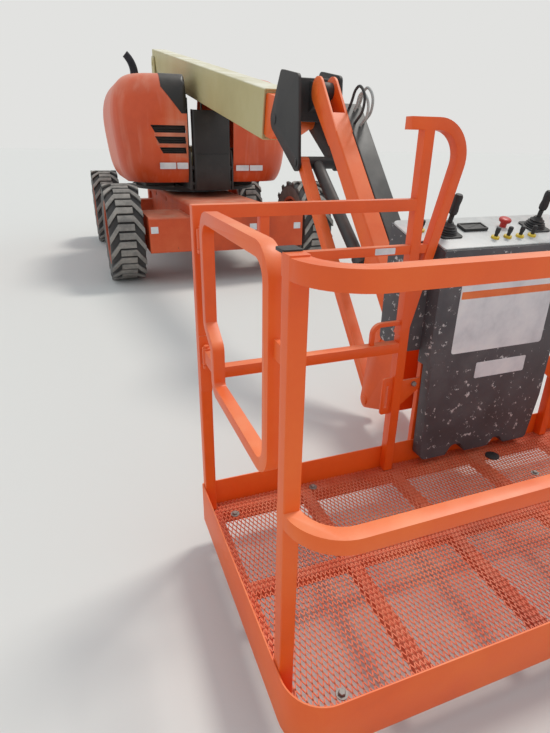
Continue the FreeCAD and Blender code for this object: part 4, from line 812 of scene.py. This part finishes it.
# %% [markdown]
# ## The control deck
# Two joysticks, a row of toggle switches and a red stop knob stand square to the sloping
# deck. They are turned at the origin as if the deck were level, and then the whole set is
# tilted with it. A joystick's rubber boot is a bellows: its ring goes in and out as it
# narrows towards the grip.

# %% The joysticks
DECK_PLACE = (3.4325, 0, 1.100)
DECK_TURN = (0, math.radians(16.6), 0)
LIFTED = 0.0001
STICK_PLATE = 0.048


def on_deck(piece, finish=None):
    """Tilt a piece with the deck, and dress it."""
    set_down(piece, DECK_PLACE, DECK_TURN)
    return dress(piece, "platform", "control_black", finish=finish)


BOOT = [(0.040, 0.005), (0.041, 0.009), (0.035, 0.012), (0.038, 0.016), (0.031, 0.020),
        (0.034, 0.024), (0.026, 0.028), (0.028, 0.033), (0.020, 0.037), (0.015, 0.045)]
GRIP = [(0.009, 0.040), (0.009, 0.072), (0.015, 0.078), (0.0165, 0.090), (0.0145, 0.110),
        (0.0165, 0.132), (0.0160, 0.142), (0.0120, 0.149), (0.0060, 0.150)]
boots, grips = [], []
for along, across in ((-0.120, -0.235), (-0.130, 0.205)):
    boots.append(slab("stick_plate", (along - STICK_PLATE, across - STICK_PLATE, LIFTED),
                      (along + STICK_PLATE, across + STICK_PLATE, 0.006),
                      corner=0.014, thin="Z", edge=0.0015))
    boots.append(set_down(turned("boot", BOOT), (along, across, 0)))
    grips.append(set_down(turned("grip", GRIP), (along, across, 0)))
on_deck(join(boots, "stick_boots"))
on_deck(join(grips, "stick_grips"))
print("joysticks", len(grips))

# %% The toggle switches
COLLAR = [(0.0155, LIFTED), (0.0155, 0.007), (0.012, 0.009), (0.006, 0.009)]
LEVER = [(0.007, 0.008), (0.007, 0.018), (0.009, 0.026), (0.009, 0.040), (0.006, 0.043)]
TOGGLES = [(-0.060, -0.050), (-0.060, 0.010), (-0.060, 0.070), (-0.060, 0.130),
           (-0.150, -0.330)]
collars = [set_down(turned("collar", COLLAR, sides=24), (*spot, 0)) for spot in TOGGLES]
levers = [set_down(turned("lever", LEVER, sides=16), (*spot, 0)) for spot in TOGGLES]
yellow_plastic = painted("yellow_plastic", (196, 160, 20), (220, 184, 30), (232, 204, 70),
                         dust=(220, 206, 160), cover=0.15, rough=(0.35, 0.5), patch=14,
                         bump=0.03)
on_deck(join(collars, "toggle_collars"), yellow_plastic)
on_deck(join(levers, "toggle_levers"))
print("toggles", len(TOGGLES))

# %% The stop knob
KNOB = [(0.013, LIFTED), (0.013, 0.018), (0.022, 0.021), (0.024, 0.026), (0.0235, 0.032),
        (0.019, 0.0355), (0.008, 0.0362)]
red_plastic = painted("red_plastic", (150, 22, 20), (178, 28, 24), (196, 44, 36),
                      dust=(210, 150, 140), cover=0.1, rough=(0.28, 0.42), patch=12,
                      bump=0.03)
knob = set_down(turned("stop_knob", KNOB), (-0.150, 0.060, 0))
on_deck(knob, red_plastic)
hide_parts("console_controls")
print("knob faces", len(knob.data.polygons))

# %% The display
SCREEN_FRAME, SCREEN_DEEP = 0.006, 0.003
display = slab("display_box", (-0.175, -0.150, LIFTED), (-0.120, -0.035, 0.012),
               corner=0.006, thin="Z", edge=0.002)
take(display, "FACE", end_faces(display, "Z", within=0.0001))
bpy.ops.mesh.inset(thickness=SCREEN_FRAME)
pull(0, 0, -SCREEN_DEEP)
leave()
on_deck(display)
print("display faces", len(display.data.polygons))

# %% [markdown]
# ## Blank plates
# The real machine carries stuck-on and riveted plates. Here they stay bare: thin slabs
# with rounded corners in white, tan or orange, each a fraction of a millimetre off the
# steel that holds it.

# %% Bare plates
white_plate = painted("white_plate", (196, 198, 200), (214, 215, 216), (226, 226, 224),
                      cover=0.0, rough=(0.35, 0.5), patch=7, bump=0.03,
                      chips=(150, 146, 140), chip_size=50, chip_from=0.74)
tan_plate = painted("tan_plate", (170, 146, 104), (186, 162, 120), (198, 178, 142),
                    cover=0.2, rough=(0.45, 0.6), patch=7, bump=0.03)
orange_strip = painted("orange_strip", (214, 96, 36), (226, 108, 44), (232, 124, 64),
                       cover=0.0, rough=(0.35, 0.5), patch=7, bump=0.03)
CONSOLE = ("platform", 3.4327, 3.4335)
STRIP = ("platform", 3.4334, 3.4340)
HOOD_LEFT = ("hood_left", -1.1694, -1.1684)
HOOD_RIGHT = ("hood_right", -1.1694, -1.1684)
CHASSIS = ("chassis", -0.4829, -0.4819)
PLATES = [
    ("console_plate", CONSOLE, (-0.218, 0.682), (0.244, 0.976), 0.012, white_plate),
    ("console_strip", STRIP, (-0.212, 0.905), (0.238, 0.934), 0.003, orange_strip),
    ("console_small_plate", CONSOLE, (-0.080, 0.558), (0.180, 0.628), 0.006, white_plate),
    ("hood_plate_1", HOOD_LEFT, (-0.590, 1.140), (-0.412, 1.206), 0.006, white_plate),
    ("hood_plate_2", HOOD_LEFT, (-0.398, 1.140), (-0.275, 1.206), 0.006, white_plate),
    ("hood_plate_3", HOOD_RIGHT, (0.285, 1.118), (0.440, 1.178), 0.006, white_plate),
    ("hood_plate_4", HOOD_RIGHT, (0.452, 1.118), (0.610, 1.178), 0.006, white_plate),
    ("chassis_plate_1", CHASSIS, (-0.835, 0.555), (-0.760, 0.622), 0.004, white_plate),
    ("chassis_plate_2", CHASSIS, (-0.400, 0.555), (-0.325, 0.624), 0.004, white_plate),
    ("chassis_plate_3", CHASSIS, (0.225, 0.552), (0.305, 0.618), 0.004, white_plate),
    ("chassis_plate_4", CHASSIS, (0.742, 0.545), (0.822, 0.612), 0.004, white_plate),
    ("chassis_plate_tan", CHASSIS, (-0.020, 0.742), (0.190, 0.782), 0.004, tan_plate),
]
for name, (body, back, front), low, high, corner, finish in PLATES:
    plate = slab(name, (back, *low), (front, *high), corner=corner, thin="X")
    dress(plate, body, "deck_grey", finish=finish)
print("plates", len(PLATES))

# %% [markdown]
# ## Dark moulding on the engine hood
# The left hood's top inner corner is covered by a dark plastic moulding that follows the
# hood. The easy way to fit one shell over another is to copy the first, cut the copy down
# to the wanted patch with planes, and push it outwards by a few millimetres.


# %% Cut the moulding from a copy of the hood
def patch_of(node, name, planes, proud):
    """The part of a solid's surface on the kept side of some planes, pushed outwards."""
    frame["nodes"][node].hide_viewport = False
    piece, body = merged_copy(node, name)
    for point, away in planes:
        bpy.ops.mesh.select_all(action="SELECT")
        bpy.ops.mesh.bisect(plane_co=point, plane_no=away, clear_outer=True)
    bpy.ops.mesh.select_all(action="SELECT")
    bpy.ops.transform.shrink_fatten(value=proud)
    leave()
    piece.hide_render = False
    frame["nodes"][node].hide_viewport = True
    return piece, body


MOULDING_CUTS = [
    ((-1.62, 0, 0), (-1, 0, 0)), ((0, -0.52, 0), (0, -1, 0)),
    ((0, 0, 1.70), (0, 0, -1)), ((-1.30, -0.40, 1.80), (0, -0.78, -0.62)),
]
MOULDING_PROUD = 0.004
moulding, carrier = patch_of("hood_left", "hood_moulding", MOULDING_CUTS, MOULDING_PROUD)
dress(moulding, carrier, "black_trim", smooth=45)
print("moulding faces", len(moulding.data.polygons))

# %% [markdown]
# ## Exhaust
# The exhaust is a dark chromed elbow that narrows to a slanted mouth. Its line is an arc, so
# a ring is extruded along the solid's own bend in small turns, and its mouth is drawn in and
# pushed back down inside, which leaves a real opening.

# %% The straight foot
PIPE_RADIUS = 0.046
FOOT_IN, FOOT_HEIGHT = 0.034, 0.190
exhaust_low, exhaust_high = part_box("exhaust_stack")
pipe_x = (exhaust_low.x + exhaust_high.x) / 2
foot_y = exhaust_high.y - FOOT_IN
foot_top = exhaust_low.z + FOOT_HEIGHT
elbow = turned("exhaust_elbow", [(PIPE_RADIUS, exhaust_low.z), (PIPE_RADIUS, foot_top)],
               sides=28, close=False)
set_down(elbow, (pipe_x, foot_y, 0))
print("foot of the exhaust at", round(pipe_x, 3), round(foot_y, 3))

# %% Sweep the elbow
BEND_RADIUS, BEND, BEND_STEPS = 0.260, 48, 10
NARROWS, MOUTH, MOUTH_IN = 0.985, 0.9, (0, 0.05, -0.06)
bend_centre = Vector((pipe_x, foot_y - BEND_RADIUS, foot_top))
take(elbow, "VERT", lambda vertex: vertex.co.z > foot_top - 0.09)
for step in range(BEND_STEPS):
    pull(0, 0, 0)
    bpy.ops.transform.rotate(value=math.radians(ARM_SIGN * BEND / BEND_STEPS), orient_axis="X",
                             center_override=bend_centre)
    bpy.ops.transform.resize(value=(NARROWS, NARROWS, NARROWS))
pull(0, 0, 0)
bpy.ops.transform.resize(value=(MOUTH, MOUTH, MOUTH))
pull(*MOUTH_IN)
bpy.ops.mesh.edge_face_add()
bpy.ops.mesh.select_all(action="SELECT")
bpy.ops.mesh.normals_make_consistent(inside=False)
leave()
exhaust_black = painted("exhaust_black", (26, 26, 30), (38, 38, 44), (64, 62, 66),
                        dust=(120, 116, 112), cover=0.2, rough=(0.16, 0.32), metal=0.6,
                        patch=6, bump=0.05)
dress(elbow, "hood_left", "black_trim", smooth=50, finish=exhaust_black)
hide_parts("exhaust_stack")
print("elbow faces", len(elbow.data.polygons))

# %% [markdown]
# ## Small fittings
# A few small things make the platform look used: a black cap on the post beside the gate,
# a dark pad and bolts on the floor, a hook bolt at the console's gusset, a blank plate on
# the hand bar, a moulded lip under the control deck, and a dark shroud beside the engine.

# %% Shroud, lip and cap
shroud = slab("side_shroud", (-1.266, -0.2605, 1.150), (-1.254, -0.2345, 1.860),
              corner=0.004, thin="X")
dress(shroud, "turntable", "black_trim")
lip = slab("console_lip", (3.4322, -0.322, 1.046), (3.4410, 0.322, 1.0945),
           corner=0.010, thin="X", edge=0.003)
dress(lip, "platform", "console_grey")
post_cap = slab("post_cap", (4.085, -1.2145, 1.2702), (4.125, -1.1765, 1.2765),
                corner=0.005, thin="Z", edge=0.001)
dress(post_cap, "platform", "control_black")
print("shroud, lip and cap")

# %% Floor pad and floor bolts
PAD = [(0.030, 0.1695), (0.030, 0.175), (0.024, 0.178), (0.010, 0.178)]
WASHER = [(0.016, 0.1695), (0.016, 0.1722), (0.010, 0.1722)]
BOLT_HEAD = [(0.010, 0.172), (0.010, 0.178), (0.008, 0.180)]
FLOOR_BOLTS = [(3.410, -0.779), (3.640, 0.150), (3.460, -1.120), (4.200, -1.060)]
floor_pad = set_down(turned("floor_pad", PAD), (3.476, 0.069, 0))
dress(floor_pad, "platform", "control_black")
floor_bolts = []
for spot in FLOOR_BOLTS:
    floor_bolts.append(set_down(turned("floor_washer", WASHER, sides=20), (*spot, 0)))
    floor_bolts.append(set_down(turned("floor_bolt", BOLT_HEAD, sides=6), (*spot, 0)))
dress(join(floor_bolts, "floor_bolts"), "platform", "steel")
print("floor bolts", len(FLOOR_BOLTS))

# %% Hook bolt and hand-bar plate
hook_bolt = turned("gusset_bolt", [(0.011, 0), (0.011, 0.010), (0.008, 0.013)], sides=6)
set_down(hook_bolt, (3.3955, -0.350, 0.560), (0, math.radians(90), 0))
dress(hook_bolt, "platform", "steel")
bar_plate = slab("hand_bar_plate", (3.4066, -0.590, 1.089), (3.4072, -0.510, 1.111),
                 corner=0.003, thin="X")
dress(bar_plate, "platform", "deck_grey", finish=white_plate)
print("hook bolt faces", len(hook_bolt.data.polygons))

# %% [markdown]
# ## Hydraulic hoses
# The hoses that feed the platform leave their guard at its upper end in loops, so that the
# jib can swing without pulling on them. A hose is a smooth curve with a round section. Its
# few control points stand along and above the guard, and the curve is told to start and end
# at the first and last of them. Both ends go back into the guard.

# %% Along the jib
JIB_SLOPE = math.radians(47.5)
JIB_PIN_X, JIB_PIN_Z = 1.717, 1.725


def on_jib(along, up, y):
    """A point measured down the jib from its top pin, square to it, and across."""
    return (JIB_PIN_X + along * math.cos(JIB_SLOPE) + up * math.sin(JIB_SLOPE), y,
            JIB_PIN_Z - along * math.sin(JIB_SLOPE) + up * math.cos(JIB_SLOPE))


def curve_length(curve_object):
    """The length of a curve's middle line."""
    bare = curve_object.data.bevel_depth
    curve_object.data.bevel_depth = 0
    line = bpy.data.meshes.new_from_object(curve_object)
    curve_object.data.bevel_depth = bare
    spots = [v.co.copy() for v in line.vertices]
    bpy.data.meshes.remove(line)
    return sum((b - a).length for a, b in zip(spots, spots[1:]))


# %% A hose
def hose(name, route, diameter, finish):
    """A hose along control points; its length is measured and printed."""
    line = bpy.data.curves.new(name, "CURVE")
    line.dimensions = "3D"
    spline = line.splines.new("NURBS")
    spline.points.add(len(route) - 1)
    for point, spot in zip(spline.points, route):
        point.co = (*spot, 1)
    spline.order_u = 3
    spline.use_endpoint_u = True
    spline.resolution_u = 10
    line.resolution_u = 10
    line.bevel_depth = diameter / 2
    line.bevel_resolution = 5
    line.use_fill_caps = True
    line.materials.append(finish)
    piece = bpy.data.objects.new(name, line)
    bpy.context.scene.collection.objects.link(piece)
    bpy.context.view_layer.update()
    length = curve_length(piece)
    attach(piece, "jib_arm")
    print(name, "length", round(length, 3))


# %% Three looped hoses
HOSE_THICK = 0.016
hose_black = painted("hose_black", (30, 30, 32), (42, 42, 44), (64, 63, 62),
                     dust=(120, 114, 108), cover=0.3, rough=(0.5, 0.7), patch=10)
hose_grey = painted("hose_grey", (150, 150, 148), (172, 172, 168), (190, 188, 182),
                    dust=(200, 196, 188), cover=0.3, rough=(0.45, 0.65), patch=10)
# Each point: along the jib, its share of the loop's rise, what is added, and across.
LOOP = [
    (0.185, 0, 0.046, 0), (0.180, 0, 0.100, 0), (0.160, 0.5, 0.05, -0.004),
    (0.185, 1, 0, -0.006), (0.265, 1, 0, 0.002), (0.310, 0.5, 0.04, 0.006),
    (0.300, 0, 0.090, 0.004), (0.296, 0, 0.046, 0.002),
]
HOSES = [
    ("hose_inner", 0.085, 0.000, 0.230, hose_black),
    ("hose_middle", 0.116, 0.018, 0.200, hose_grey),
    ("hose_outer", 0.147, -0.006, 0.215, hose_grey),
]
for name, y, shift, rise, finish in HOSES:
    route = [on_jib(along + shift, share * rise + more, y + across)
             for along, share, more, across in LOOP]
    hose(name, route, HOSE_THICK, finish)

# %% [markdown]
# ## Finish
# At the end nothing is left selected.

# %% The end
bpy.ops.object.select_all(action="DESELECT")
